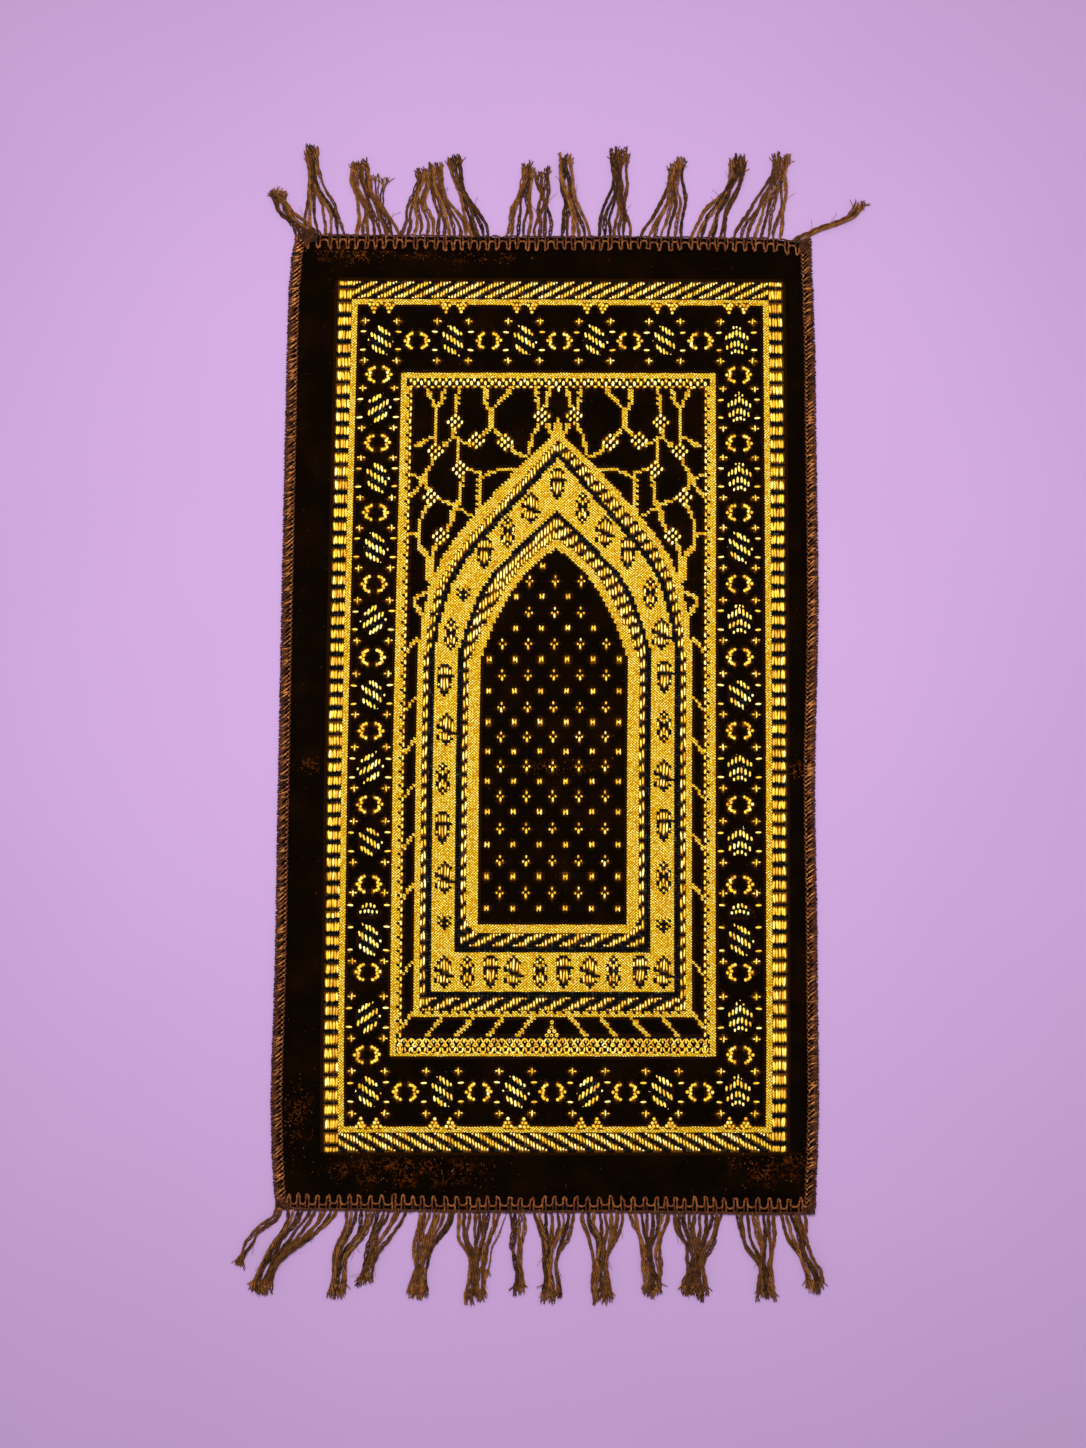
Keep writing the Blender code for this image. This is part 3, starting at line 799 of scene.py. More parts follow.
def between(start: float, stop: float, count: int) -> np.ndarray:
    """Returns places spaced evenly between two others, without either."""
    return np.linspace(start, stop, count + 2)[1:-1]


def distance_to(points: np.ndarray, line: np.ndarray) -> np.ndarray:
    """Returns how far each point lies from a line of straight pieces.

    Args:
        points: The points, a row for each.
        line: The line's own points in order.

    Returns:
        The distance of each point.
    """
    nearest = np.full(len(points), np.inf)
    for start, stop in zip(line, line[1:]):
        along = stop - start
        share = np.clip((points - start) @ along / max(float(along @ along), 1e-12), 0.0, 1.0)
        nearest = np.minimum(nearest, np.linalg.norm(points - start - share[:, None] * along, axis=1))
    return nearest


def within(points: np.ndarray, line: np.ndarray) -> np.ndarray:
    """Tells which points lie inside a line that is closed back to its start.

    Args:
        points: The points, a row for each.
        line: The line's own points in order.

    Returns:
        True for each point inside.
    """
    inside = np.zeros(len(points), dtype=bool)
    for (x_a, y_a), (x_b, y_b) in zip(line, np.roll(line, -1, axis=0)):
        if y_a == y_b:
            continue
        crosses = (y_a > points[:, 1]) != (y_b > points[:, 1])
        inside ^= crosses & (points[:, 0] < x_a + (points[:, 1] - y_a) * (x_b - x_a) / (y_b - y_a))
    return inside


@dataclass
class Sketch:
    """Nodes drawn into one tree, of a material or of Geometry Nodes."""

    tree: NodeTree

    def node(self, kind: str, inputs: dict[Any, Any] | None = None, **settings: Any) -> Node:
        """Adds a node.

        Args:
            kind: The node's type.
            inputs: What goes in each input: a value, a socket or another node.
            settings: Values of the node's own options.

        Returns:
            The new node.
        """
        made = self.tree.nodes.new(kind)
        for name, value in settings.items():
            setattr(made, name, value)
        for key, value in (inputs or {}).items():
            self.feed(made.inputs[key], value)
        return made

    def feed(self, target: NodeSocket, value: Any) -> None:
        """Links a socket or a node's first output to an input, or sets its value."""
        if isinstance(value, Node):
            value = value.outputs[0]
        if isinstance(value, NodeSocket):
            self.tree.links.new(value, target)
        else:
            target.default_value = value

    def stepped(self, value: Any, edge: float, first: Any, second: Any) -> NodeSocket:
        """Changes from one colour to another where a value passes an edge."""
        return self.mixed(self.ranged(value, edge - 0.03, edge + 0.03), first, second)

    def place(self) -> NodeSocket:
        """Returns the place that is shaded, in metres."""
        return self.node("ShaderNodeTexCoord").outputs["Object"]

    def math(self, operation: str, first: Any, second: Any = 0.0) -> Node:
        """Adds a Math node on two values."""
        return self.node("ShaderNodeMath", {0: first, 1: second}, operation=operation)

    def vector(self, operation: str, first: Any, second: Any = (0.0, 0.0, 0.0)) -> Node:
        """Adds a Vector Math node on two vectors."""
        return self.node("ShaderNodeVectorMath", {0: first, 1: second}, operation=operation)

    def scaled(self, first: Any, factor: Any) -> Node:
        """Adds a node that scales a vector."""
        return self.node("ShaderNodeVectorMath", {0: first, "Scale": factor}, operation="SCALE")

    def ranged(self, value: Any, low: float, high: float, to_low: float = 0.0,
               to_high: float = 1.0) -> Node:
        """Adds a clamped Map Range node."""
        inputs = {"Value": value, 1: low, 2: high, 3: to_low, 4: to_high}
        return self.node("ShaderNodeMapRange", inputs)

    def mixed(self, share: Any, first: Any, second: Any) -> NodeSocket:
        """Mixes two colours and returns the result's socket."""
        made = self.node("ShaderNodeMix", data_type="RGBA")
        for index, value in ((0, share), (6, first), (7, second)):
            self.feed(made.inputs[index], value)
        return made.outputs[2]

    def noise(self, place: Any, scale: float, detail: float = 2.0) -> Node:
        """Adds a noise texture at a place."""
        return self.node("ShaderNodeTexNoise", {"Vector": place, "Scale": scale, "Detail": detail})


def colour(red: float, green: float, blue: float) -> tuple[float, float, float, float]:
    """Turns a screen colour of 0 to 255 into the linear one that a shader takes."""
    parts = [value / 255.0 for value in (red, green, blue)]
    linear = [p / 12.92 if p <= 0.04045 else ((p + 0.055) / 1.055) ** 2.4 for p in parts]
    return (*linear, 1.0)


def new_material(name: str, roughness: float, **shader_values: float) -> tuple[Sketch, Node]:
    """Starts a material.

    Args:
        name: The material's name.
        roughness: The shader's roughness.
        shader_values: Other values of the shader, with _ for a space in their names.

    Returns:
        A sketch on the material's tree, and its shader.
    """
    material = bpy.data.materials.new(name)
    material.use_nodes = True
    shader = material.node_tree.nodes["Principled BSDF"]
    shader.inputs["Roughness"].default_value = roughness
    for key, value in shader_values.items():
        shader.inputs[key.replace("_", " ")].default_value = value
    return Sketch(material.node_tree), shader


def bump(sketch: Sketch, shader: Node, height: Any, distance: float, strength: float) -> None:
    """Gives a shader a bump from a height."""
    made = sketch.node("ShaderNodeBump", {"Height": height, "Distance": distance, "Strength": strength})
    sketch.feed(shader.inputs["Normal"], made)


class Patch(NamedTuple):
    """A stretch of velvet brushed against its nap, drawn as worn streaks of painted sheen: its middle,
    half sizes and strength.
    """

    x: float
    y: float
    wide: float
    tall: float
    strength: float


@dataclass(frozen=True)
class VelvetFinish:
    """Near-black brown velvet with painted sheen where its nap sweeps and where it is brushed, a painted
    glow of the gold on the pile beside the weave, and the gold or charcoal floor of the weave between.
    """

    dark: tuple[float, float, float] = (9, 4, 1)
    # Painted sheen: the lighter brown of the nap where it catches the light.
    nap: tuple[float, float, float] = (19, 8, 2)
    # Painted sheen of pile brushed against its nap, shown as worn orange-brown streaks.
    brushed: tuple[float, float, float] = (130, 62, 12)
    # Painted glow: light reflected from the gold onto the pile beside the weave.
    painted_gold_glow: tuple[float, float, float] = (24, 11, 2)
    float_floor: tuple[float, float, float] = (78, 42, 6)
    gold_floor: tuple[float, float, float] = (148, 98, 8)
    charcoal_floor: tuple[float, float, float] = (6, 4, 3)
    patches: tuple[Patch, ...] = (
        Patch(-0.230, 0.527, 0.050, 0.014, 0.75),
        Patch(-0.100, 0.524, 0.090, 0.008, 0.40),
        Patch(-0.150, -0.508, 0.100, 0.020, 0.60),
        Patch(0.245, -0.500, 0.050, 0.024, 0.55),
        Patch(-0.270, -0.450, 0.022, 0.040, 0.45),
        Patch(-0.268, -0.060, 0.020, 0.014, 0.40),
        Patch(0.276, -0.062, 0.012, 0.012, 0.60),
        Patch(0.010, -0.062, 0.070, 0.010, 0.35),
    )

    def material(self) -> Material:
        """Returns the velvet's material."""
        sketch, shader = new_material("velvet pile", 0.9, Specular_IOR_Level=0.0)
        place = sketch.place()
        fuzz = sketch.noise(place, 900.0, 3.0)
        nap_sheen_sweep = sketch.noise(place, 22.0, 4.0)
        streaks = sketch.noise(place, 170.0, 2.0)
        clumps = sketch.noise(place, 60.0, 2.0)
        # Brushed patches: painted sheen of pile brushed against its nap, broken into worn streaks.
        brushed: Any = 0.0
        for patch in self.patches:
            offset = sketch.vector("SUBTRACT", place, (patch.x, patch.y, 0.0))
            shrunk = sketch.vector("MULTIPLY", offset, (1 / patch.wide, 1 / patch.tall, 0.0))
            radius = sketch.vector("LENGTH", shrunk).outputs["Value"]
            share = sketch.ranged(radius, 0.2, 1.0, patch.strength, 0.0)
            brushed = sketch.math("MAXIMUM", brushed, share)
        ridges = sketch.math("ABSOLUTE", sketch.math("SUBTRACT", streaks, 0.5))
        worn_sheen_streaks = sketch.math("MULTIPLY", sketch.ranged(ridges, 0.0, 0.05, 1.0, 0.0),
                           sketch.ranged(clumps, 0.44, 0.62))
        brushed = sketch.math("MULTIPLY", brushed, worn_sheen_streaks)
        # Painted sheen: broad sweeps where the nap turns lighter brown.
        base = sketch.mixed(sketch.ranged(nap_sheen_sweep, 0.45, 0.75), colour(*self.dark), colour(*self.nap))
        base = sketch.mixed(brushed, base, colour(*self.brushed))
        base = sketch.mixed(sketch.ranged(fuzz, 0.35, 0.65, 0.35, 0.0), base, (0.0, 0.0, 0.0, 1.0))
        # Weave 0.1 paints a glow of the gold's reflected light on the pile beside the pattern; the
        # higher values are the woven floors.
        weave = sketch.node("ShaderNodeAttribute", attribute_name="weave").outputs["Fac"]
        for edge, shade in ((0.05, self.painted_gold_glow), (0.2, self.float_floor),
                            (0.4, self.gold_floor), (0.75, self.charcoal_floor)):
            base = sketch.stepped(weave, edge, base, colour(*shade))
        sketch.feed(shader.inputs["Base Color"], base)
        bump(sketch, shader, fuzz, 0.0006, 0.6)
        return bpy.data.materials["velvet pile"]


@dataclass(frozen=True)
class BackFinish:
    """The rug's plain underside: dark ribs of the ground weave."""

    light: tuple[float, float, float] = (74, 48, 30)
    dark: tuple[float, float, float] = (40, 24, 14)
    rib_pitch: float = 0.0030

    def material(self) -> Material:
        """Returns the underside's material."""
        sketch, shader = new_material("woven back", 0.9)
        ribs = {"Vector": sketch.place(), "Scale": 0.1 * TURN / self.rib_pitch / 2}
        uneven = {"Distortion": 1.5, "Detail": 2.0}
        waves = sketch.node("ShaderNodeTexWave", {**ribs, **uneven}, bands_direction="Y")
        cross = sketch.node("ShaderNodeTexWave", ribs, bands_direction="X")
        height = sketch.math("MULTIPLY", waves.outputs["Fac"], cross.outputs["Fac"])
        # The colour follows the ribs' height: painted shade in the grooves, lighter crests.
        shade = sketch.mixed(height, colour(*self.dark), colour(*self.light))
        sketch.feed(shader.inputs["Base Color"], shade)
        bump(sketch, shader, height, 0.0004, 0.5)
        return bpy.data.materials["woven back"]


@dataclass(frozen=True)
class YarnFinish:
    """A yarn's colours, from its shaded strands to its lightest ones."""

    name: str
    deep: tuple[float, float, float]
    middle: tuple[float, float, float]
    light: tuple[float, float, float]
    roughness: float
    gloss: float = 0.5
    fibre_scale: float = 1400.0

    def material(self) -> Material:
        """Returns the yarn's material, which reads how light each strand is from tone."""
        sketch, shader = new_material(self.name, self.roughness, Specular_IOR_Level=self.gloss)
        place = sketch.place()
        tone = sketch.node("ShaderNodeAttribute", attribute_name="tone").outputs["Fac"]
        fibres = sketch.noise(place, self.fibre_scale, 3.0)
        uneven = sketch.ranged(sketch.noise(place, 160.0), 0.3, 0.7, -0.16, 0.16)
        shade = sketch.math("ADD", tone, uneven)
        shade = sketch.math("ADD", shade, sketch.ranged(fibres, 0.3, 0.7, -0.14, 0.14))
        low = sketch.mixed(sketch.ranged(shade, 0.0, 0.5), colour(*self.deep), colour(*self.middle))
        full = sketch.mixed(sketch.ranged(shade, 0.5, 1.0), low, colour(*self.light))
        sketch.feed(shader.inputs["Base Color"], full)
        bump(sketch, shader, fibres, 0.0003, 0.35)
        return bpy.data.materials[self.name]


GOLD_GROUND = YarnFinish("gold ground yarn", (216, 152, 6), (255, 232, 40), (255, 252, 140), 0.45, 0.2)
GOLD_FLOAT = YarnFinish("gold float yarn", (196, 132, 8), (246, 198, 40), (255, 240, 158), 0.40, 0.3)
CHARCOAL = YarnFinish("charcoal yarn", (3, 1, 1), (10, 7, 6), (58, 54, 48), 0.6, 0.10)
BINDING = YarnFinish("binding yarn", (22, 7, 1), (86, 42, 15), (184, 116, 58), 0.8, 0.15)
FRINGE = YarnFinish("fringe yarn", (26, 11, 3), (96, 55, 20), (168, 112, 54), 0.8, 0.15)
FLECKS = YarnFinish("stray fibres", (40, 17, 2), (104, 52, 10), (186, 116, 40), 0.8, 0.1)


def tree_named(name: str) -> tuple[Sketch, Node]:
    """Starts a Geometry Nodes tree.

    Args:
        name: The tree's name.

    Returns:
        A sketch on the tree, and its group input node.
    """
    tree = bpy.data.node_groups.new(name, "GeometryNodeTree")
    tree.interface.new_socket("Geometry", in_out="INPUT", socket_type="NodeSocketGeometry")
    tree.interface.new_socket("Geometry", in_out="OUTPUT", socket_type="NodeSocketGeometry")
    sketch = Sketch(tree)
    return sketch, sketch.node("NodeGroupInput")


def tree_input(sketch: Sketch, name: str, kind: str, value: Any) -> None:
    """Adds a named input with its usual value to a tree."""
    made = sketch.tree.interface.new_socket(name, in_out="INPUT", socket_type=f"NodeSocket{kind}")
    if value is not None:
        made.default_value = value


def point_value(sketch: Sketch, name: str, kind: str = "FLOAT") -> NodeSocket:
    """Reads a named value of the points and returns its socket."""
    return sketch.node("GeometryNodeInputNamedAttribute", {"Name": name}, data_type=kind).outputs[0]


def finish_tree(sketch: Sketch, shape: Any, material: NodeSocket) -> NodeTree:
    """Ends a tree: its instances become a real, smooth mesh with one material.

    Args:
        sketch: The sketch on the tree.
        shape: What the tree has made so far.
        material: The socket that gives the material.

    Returns:
        The tree.
    """
    real = sketch.node("GeometryNodeRealizeInstances", {"Geometry": shape})
    smooth = sketch.node("GeometryNodeSetShadeSmooth", {"Geometry": real})
    dressed = sketch.node("GeometryNodeSetMaterial", {"Geometry": smooth, "Material": material})
    sketch.node("NodeGroupOutput", {0: dressed})
    return sketch.tree


def grain_tree() -> NodeTree:
    """Returns the tree that sets one small yarn grain on each point.

    The points hold size, the grain's half lengths, and turn, its angle on the cloth.
    """
    sketch, entry = tree_named("yarn grains")
    for name, kind, value in (("Segments", "Int", 6), ("Rings", "Int", 2), ("Lay Down", "Float", 0.0),
                              ("Material", "Material", None)):
        tree_input(sketch, name, kind, value)
    bead = sketch.node("GeometryNodeMeshUVSphere", {"Segments": entry.outputs["Segments"],
                                                    "Rings": entry.outputs["Rings"], "Radius": 1.0})
    laid = sketch.node("ShaderNodeCombineXYZ", {"X": entry.outputs["Lay Down"]})
    turned = sketch.node("GeometryNodeTransform", {"Geometry": bead, "Rotation": laid})
    heading = sketch.node("ShaderNodeCombineXYZ", {"Z": point_value(sketch, "turn")})
    rotation = sketch.node("FunctionNodeEulerToRotation", {"Euler": heading})
    size = point_value(sketch, "size", "FLOAT_VECTOR")
    grains = sketch.node("GeometryNodeInstanceOnPoints", {"Points": entry.outputs["Geometry"],
                         "Instance": turned, "Rotation": rotation, "Scale": size})
    return finish_tree(sketch, grains, entry.outputs["Material"])


def yarn_tree() -> NodeTree:
    """Returns the tree that turns lines into plied yarn.

    The points hold plies, thick, the radius of a ply, spread, how far the plies lie from the
    middle of the yarn, and phase, where their twist starts.
    """
    sketch, entry = tree_named("plied yarn")
    for name, kind, value in (("Sides", "Int", 4), ("Twist Length", "Float", 0.012),
                              ("Reference", "Vector", (0.0, 0.0, 1.0)), ("Looseness", "Float", 0.0004),
                              ("Material", "Material", None)):
        tree_input(sketch, name, kind, value)
    curve = sketch.node("GeometryNodeMeshToCurve", {"Mesh": entry.outputs["Geometry"]})
    plies = point_value(sketch, "plies")
    copies = sketch.node("GeometryNodeDuplicateElements", {"Geometry": curve, "Amount": plies},
                         domain="SPLINE")
    number = copies.outputs["Duplicate Index"]
    length = sketch.node("GeometryNodeSplineParameter").outputs["Length"]
    turns = sketch.math("DIVIDE", length, entry.outputs["Twist Length"])
    turns = sketch.math("ADD", turns, sketch.math("DIVIDE", number, plies))
    angle = sketch.math("MULTIPLY", turns, TURN)
    angle = sketch.math("ADD", angle, point_value(sketch, "phase"))
    tangent = sketch.node("GeometryNodeInputTangent")
    across = sketch.vector("CROSS_PRODUCT", tangent, entry.outputs["Reference"])
    across = sketch.vector("NORMALIZE", across)
    upright = sketch.vector("CROSS_PRODUCT", across, tangent)
    offset = sketch.vector("ADD", sketch.scaled(across, sketch.math("COSINE", angle)),
                           sketch.scaled(upright, sketch.math("SINE", angle)))
    offset = sketch.scaled(offset, point_value(sketch, "spread"))
    position = sketch.node("GeometryNodeInputPosition")
    shift = sketch.math("MULTIPLY", number, 0.37)
    apart = sketch.node("ShaderNodeCombineXYZ", {"X": shift, "Y": shift})
    wander = sketch.noise(sketch.vector("ADD", position, apart), 140.0, 1.0)
    wander = sketch.vector("SUBTRACT", wander.outputs["Color"], (0.5, 0.5, 0.5))
    wander = sketch.scaled(wander, entry.outputs["Looseness"])
    moved = sketch.node("GeometryNodeSetPosition", {"Geometry": copies.outputs[0],
                                                    "Offset": sketch.vector("ADD", offset, wander)})
    place = sketch.node("ShaderNodeSeparateXYZ", {0: sketch.node("GeometryNodeInputPosition")})
    lowest = sketch.math("ADD", point_value(sketch, "thick"), 0.0001)
    resting = sketch.node("ShaderNodeCombineXYZ", {
        "X": place.outputs["X"], "Y": place.outputs["Y"],
        "Z": sketch.math("MAXIMUM", place.outputs["Z"], lowest)})
    moved = sketch.node("GeometryNodeSetPosition", {"Geometry": moved, "Position": resting})
    ring = sketch.node("GeometryNodeCurvePrimitiveCircle", {
        "Resolution": entry.outputs["Sides"], "Radius": 1.0})
    tube = sketch.node("GeometryNodeCurveToMesh", {
        "Curve": moved, "Profile Curve": ring, "Scale": point_value(sketch, "thick"), "Fill Caps": True})
    return finish_tree(sketch, tube, entry.outputs["Material"])


def grown(name: str, start: Mesh, tree: NodeTree,
          values: dict[str, Any]) -> Object:
    """Runs a tree on a mesh and returns the plain mesh that comes out, as a new piece.

    Args:
        name: The piece's name.
        start: The points or lines that the tree works on.
        tree: The Geometry Nodes tree.
        values: A value for each named input that differs from the usual one.

    Returns:
        The new piece, without modifiers.
    """
    seedling = bpy.data.objects.new(name + "_start", start)
    bpy.context.scene.collection.objects.link(seedling)
    modifier = seedling.modifiers.new("nodes", "NODES")
    modifier.node_group = tree
    sockets = {item.name: item.identifier for item in tree.interface.items_tree
               if item.in_out == "INPUT"}
    for key, value in values.items():
        modifier[sockets[key]] = value
    graph = bpy.context.evaluated_depsgraph_get()
    mesh = bpy.data.meshes.new_from_object(seedling.evaluated_get(graph))
    mesh.name = name
    bpy.data.objects.remove(seedling, do_unlink=True)
    piece = bpy.data.objects.new(name, mesh)
    bpy.context.scene.collection.objects.link(piece)
    for unused in ("size", "turn", "plies", "thick", "spread", "phase"):
        if unused in mesh.attributes:
            mesh.attributes.remove(mesh.attributes[unused])
    return piece


def set_values(mesh: Mesh, name: str, kind: str, values: Any, domain: str = "POINT") -> None:
    """Stores a named value on each point or face of a mesh."""
    attribute = mesh.attributes.new(name, kind, domain)
    key = {"FLOAT_VECTOR": "vector"}.get(kind, "value")
    attribute.data.foreach_set(key, np.ascontiguousarray(values).ravel())


class Grain(NamedTuple):
    """One grain of yarn: its middle, its half lengths, its angle on the cloth and its tone."""

    place: tuple[float, float, float]
    size: tuple[float, float, float]
    turn: float
    tone: float


def scatter(name: str, grains: Sequence[Grain], tree: NodeTree,
            values: dict[str, Any]) -> Object:
    """Makes one piece of a set of grains.

    Args:
        name: The piece's name.
        grains: The grains.
        tree: The grain tree.
        values: Values of the tree's named inputs.

    Returns:
        The piece.
    """
    mesh = bpy.data.meshes.new(name + "_points")
    mesh.from_pydata([grain.place for grain in grains], [], [])
    set_values(mesh, "size", "FLOAT_VECTOR", [grain.size for grain in grains])
    set_values(mesh, "turn", "FLOAT", [grain.turn for grain in grains])
    set_values(mesh, "tone", "FLOAT", [grain.tone for grain in grains])
    return grown(name, mesh, tree, values)


@dataclass
class Strand:
    """One length of yarn: the points that it follows, and its make."""

    points: np.ndarray
    thick: float | np.ndarray
    spread: float | np.ndarray = 0.0
    plies: int = 1
    tone: float | np.ndarray = 0.5
    phase: float = 0.0


@dataclass
class Yarnwork:
    """Work in one plied yarn: the tree that plies it, and its finish."""

    tree: NodeTree
    material: Material

    def spin(self, name: str, strands: Sequence[Strand], values: dict[str, Any]) -> Object:
        """Makes one piece of a set of strands.

        Args:
            name: The piece's name.
            strands: The strands.
            values: Values of the tree's named inputs.

        Returns:
            The piece.
        """
        points, edges = [], []
        names = ("thick", "spread", "plies", "tone", "phase")
        columns: dict[str, list[np.ndarray]] = {key: [] for key in names}
        for strand in strands:
            start, count = len(points), len(strand.points)
            points.extend(map(tuple, strand.points))
            edges.extend((start + step, start + step + 1) for step in range(count - 1))
            for key, stored in columns.items():
                stored.append(np.broadcast_to(np.asarray(getattr(strand, key), dtype=float), (count,)))
        mesh = bpy.data.meshes.new(name + "_lines")
        mesh.from_pydata(points, edges, [])
        for key, stored in columns.items():
            set_values(mesh, key, "FLOAT", np.concatenate(stored))
        return grown(name, mesh, self.tree, {**values, "Material": self.material})


def attach(piece: Object, slot: str, *nodes: str) -> None:
    """Rides a piece on the rug's body.

    Args:
        piece: The piece.
        slot: The name of its finish; not used.
        nodes: The solids that it stands for.
    """
    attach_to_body(piece, BODY)
    if nodes:
        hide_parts(*nodes)


@dataclass
class VelvetCloth:
    """The cloth: its pile, the woven floor of the pattern, thin rims and flat underside."""

    outline: Outline
    chart: PatternChart
    pile: float = 0.0040
    floor: float = 0.0031
    rim_top: float = 0.0030
    rim_underside: float = 0.0012
    side_rim: tuple[float, ...] = (0.0015, 0.0075, 0.0133, 0.0173)
    end_rim: tuple[float, ...] = (0.0015, 0.0090, 0.0168, 0.0208)
    left_lines: int = 10
    right_lines: int = 4
    upper_lines: int = 9
    lower_lines: int = 13
    crease_y: float = -0.066
    crease_depth: float = 0.0005
    crease_half_width: float = 0.010
    nap_lift: float = 0.00012

    def lines(self) -> tuple[np.ndarray, np.ndarray]:
        """Works out the grid's lines: close at the rims, apart in the margins, a cell apart within.

        Returns:
            The x of each upright line and the y of each level one.
        """
        ground = self.chart.ground
        half, long = self.outline.width / 2, self.outline.length / 2
        side, end = np.array(self.side_rim), np.array(self.end_rim)
        x_lines = np.concatenate([
            side - half, between(side[-1] - half, ground.left, self.left_lines),
            ground.left + np.arange(ground.columns + 1) * ground.cell_width,
            between(ground.right, half - side[-1], self.right_lines), half - side[::-1]])
        y_lines = np.concatenate([
            long - end, between(long - end[-1], ground.top, self.upper_lines),
            ground.top - np.arange(ground.rows + 1) * ground.cell_height,
            between(ground.low, end[-1] - long, self.lower_lines), end[::-1] - long])
        return x_lines, y_lines

    def heights(self, y_lines: np.ndarray, woven: np.ndarray) -> np.ndarray:
        """Returns how high each grid point lies.

        Args:
            y_lines: The level lines.
            woven: True for each cell of the grid that shows the pattern.

        Returns:
            The heights, with a level crease and an uneven nap.
        """
        padded = np.pad(woven, 1)
        low = padded[1:, 1:] | padded[:-1, 1:] | padded[1:, :-1] | padded[:-1, :-1]
        heights = np.full(low.shape, self.pile)
        heights[:3] = heights[-3:] = self.rim_top
        heights[:, :3] = heights[:, -3:] = self.rim_top
        heights[low] = self.floor
        trough = np.clip(1.0 - np.abs(y_lines - self.crease_y) / self.crease_half_width, 0.0, 1.0)
        heights -= (self.crease_depth * trough ** 2 * (3.0 - 2.0 * trough))[:, None]
        nap = np.random.default_rng(SEED).uniform(-1, 1, heights.shape) * self.nap_lift
        return heights + np.where(heights > self.rim_top + 0.0004, nap, 0.0)

    def build(self) -> Object:
        """Builds and dresses the cloth.

        Returns:
            The cloth's piece.
        """
        ground = self.chart.ground
        x_lines, y_lines = self.lines()
        wide, tall = len(x_lines), len(y_lines)
        cells = np.zeros((tall - 1, wide - 1), dtype=np.int8)
        row, column = len(self.end_rim) + self.upper_lines, len(self.side_rim) + self.left_lines
        cells[row:row + ground.rows, column:column + ground.columns] = self.chart.cells
        woven = cells != Cell.PILE
        places = self.placed(x_lines, y_lines)
        levels = self.heights(y_lines, woven).ravel()
        points = [(x, y, z) for (x, y), z in zip(places.reshape(-1, 2), levels)]
        faces = [(r * wide + c, (r + 1) * wide + c, (r + 1) * wide + c + 1, r * wide + c + 1)
                 for r in range(tall - 1) for c in range(wide - 1)]
        # Pile cells next to the pattern get weave 0.1, where the velvet paints a glow of light reflected
        # from the gold.
        glow_cells = np.zeros_like(woven)
        for down, across in ((1, 0), (-1, 0), (0, 1), (0, -1)):
            glow_cells |= np.roll(woven, (down, across), (0, 1))
        weave = np.select([cells == Cell.THREAD, cells == Cell.FLAT, cells == Cell.FLOAT, glow_cells],
                          [1.0, 0.5, 0.3, 0.1], 0.0).ravel()
        top_faces = len(faces)
        self.close_underneath(places, points, faces)
        mesh = bpy.data.meshes.new("velvet_cloth")
        mesh.from_pydata(points, [], faces)
        backs = np.arange(len(faces)) >= top_faces
        set_values(mesh, "weave", "FLOAT", np.append(weave, np.zeros(backs.sum())), "FACE")
        for made in (VelvetFinish().material(), BackFinish().material()):
            mesh.materials.append(made)
        mesh.polygons.foreach_set("material_index", backs.astype(np.int32))
        self.tidy(mesh)
        piece = bpy.data.objects.new("velvet_cloth", mesh)
        bpy.context.scene.collection.objects.link(piece)
        attach(piece, "velvet", "pile_cloth")
        return piece

    def close_underneath(self, places: np.ndarray, points: list[tuple[float, float, float]],
                         faces: list[tuple[int, ...]]) -> None:
        """Adds the faces of the rims and the flat underside to those of the top.

        Args:
            places: The x and y of each grid point.
            points: The cloth's points so far, which grows.
            faces: The cloth's faces so far, which grows.
        """
        tall, wide = places.shape[:2]
        loops = [self.boundary(tall, wide)]
        for depth, height in ((0, self.rim_underside), (2, self.rim_underside), (3, 0.0)):
            start = len(points)
            for index in loops[0]:
                row, column = divmod(index, wide)
                row = min(max(row, depth), tall - 1 - depth)
                column = min(max(column, depth), wide - 1 - depth)
                points.append((*places[row, column], height))
            loops.append(list(range(start, len(points))))
        for upper, lower in zip(loops, loops[1:]):
            for corners in zip(upper, lower, lower[1:] + lower[:1], upper[1:] + upper[:1]):
                if len({points[index] for index in corners}) > 2:
                    faces.append(corners[::-1])
        faces.append(tuple(loops[-1]))

    def placed(self, x_lines: np.ndarray, y_lines: np.ndarray) -> np.ndarray:
        """Bends the grid's margins to the rug's outline.

        Args:
            x_lines: The upright lines.
            y_lines: The level lines.

        Returns:
            The x and y of each grid point.
        """
        ground, outline = self.chart.ground, self.outline
        half, long = outline.width / 2, outline.length / 2
        left = np.array([outline.edge(Side.LEFT, y) + half for y in y_lines])
        right = np.array([outline.edge(Side.RIGHT, y) - half for y in y_lines])
        lower = np.array([outline.edge(Side.BOTTOM, x) + long for x in x_lines])
        upper = np.array([outline.edge(Side.TOP, x) - long for x in x_lines])
        left_share = np.clip((ground.left - x_lines) / (ground.left + half), 0, 1)
        right_share = np.clip((x_lines - ground.right) / (half - ground.right), 0, 1)
        upper_share = np.clip((y_lines - ground.top) / (long - ground.top), 0, 1)
        lower_share = np.clip((ground.low - y_lines) / (ground.low + long), 0, 1)
        column = np.clip((x_lines - ground.left) / ground.cell_width, 0, ground.columns)
        row = np.clip((ground.top - y_lines) / ground.cell_height, 0, ground.rows)
        columns, rows = np.meshgrid(column, row)
        woven_x, woven_y = ground.place(columns, rows)
        fade = (1 - np.maximum(left_share, right_share))[None, :]
        fade = fade * (1 - np.maximum(upper_share, lower_share))[:, None]
        x = x_lines[None, :] + left[:, None] * left_share + right[:, None] * right_share
        y = y_lines[:, None] + upper * upper_share[:, None] + lower * lower_share[:, None]
        x = x + fade * (woven_x - ground.left - columns * ground.cell_width)
        y = y + fade * (woven_y - ground.top + rows * ground.cell_height)
        return np.stack([x, y], axis=2)

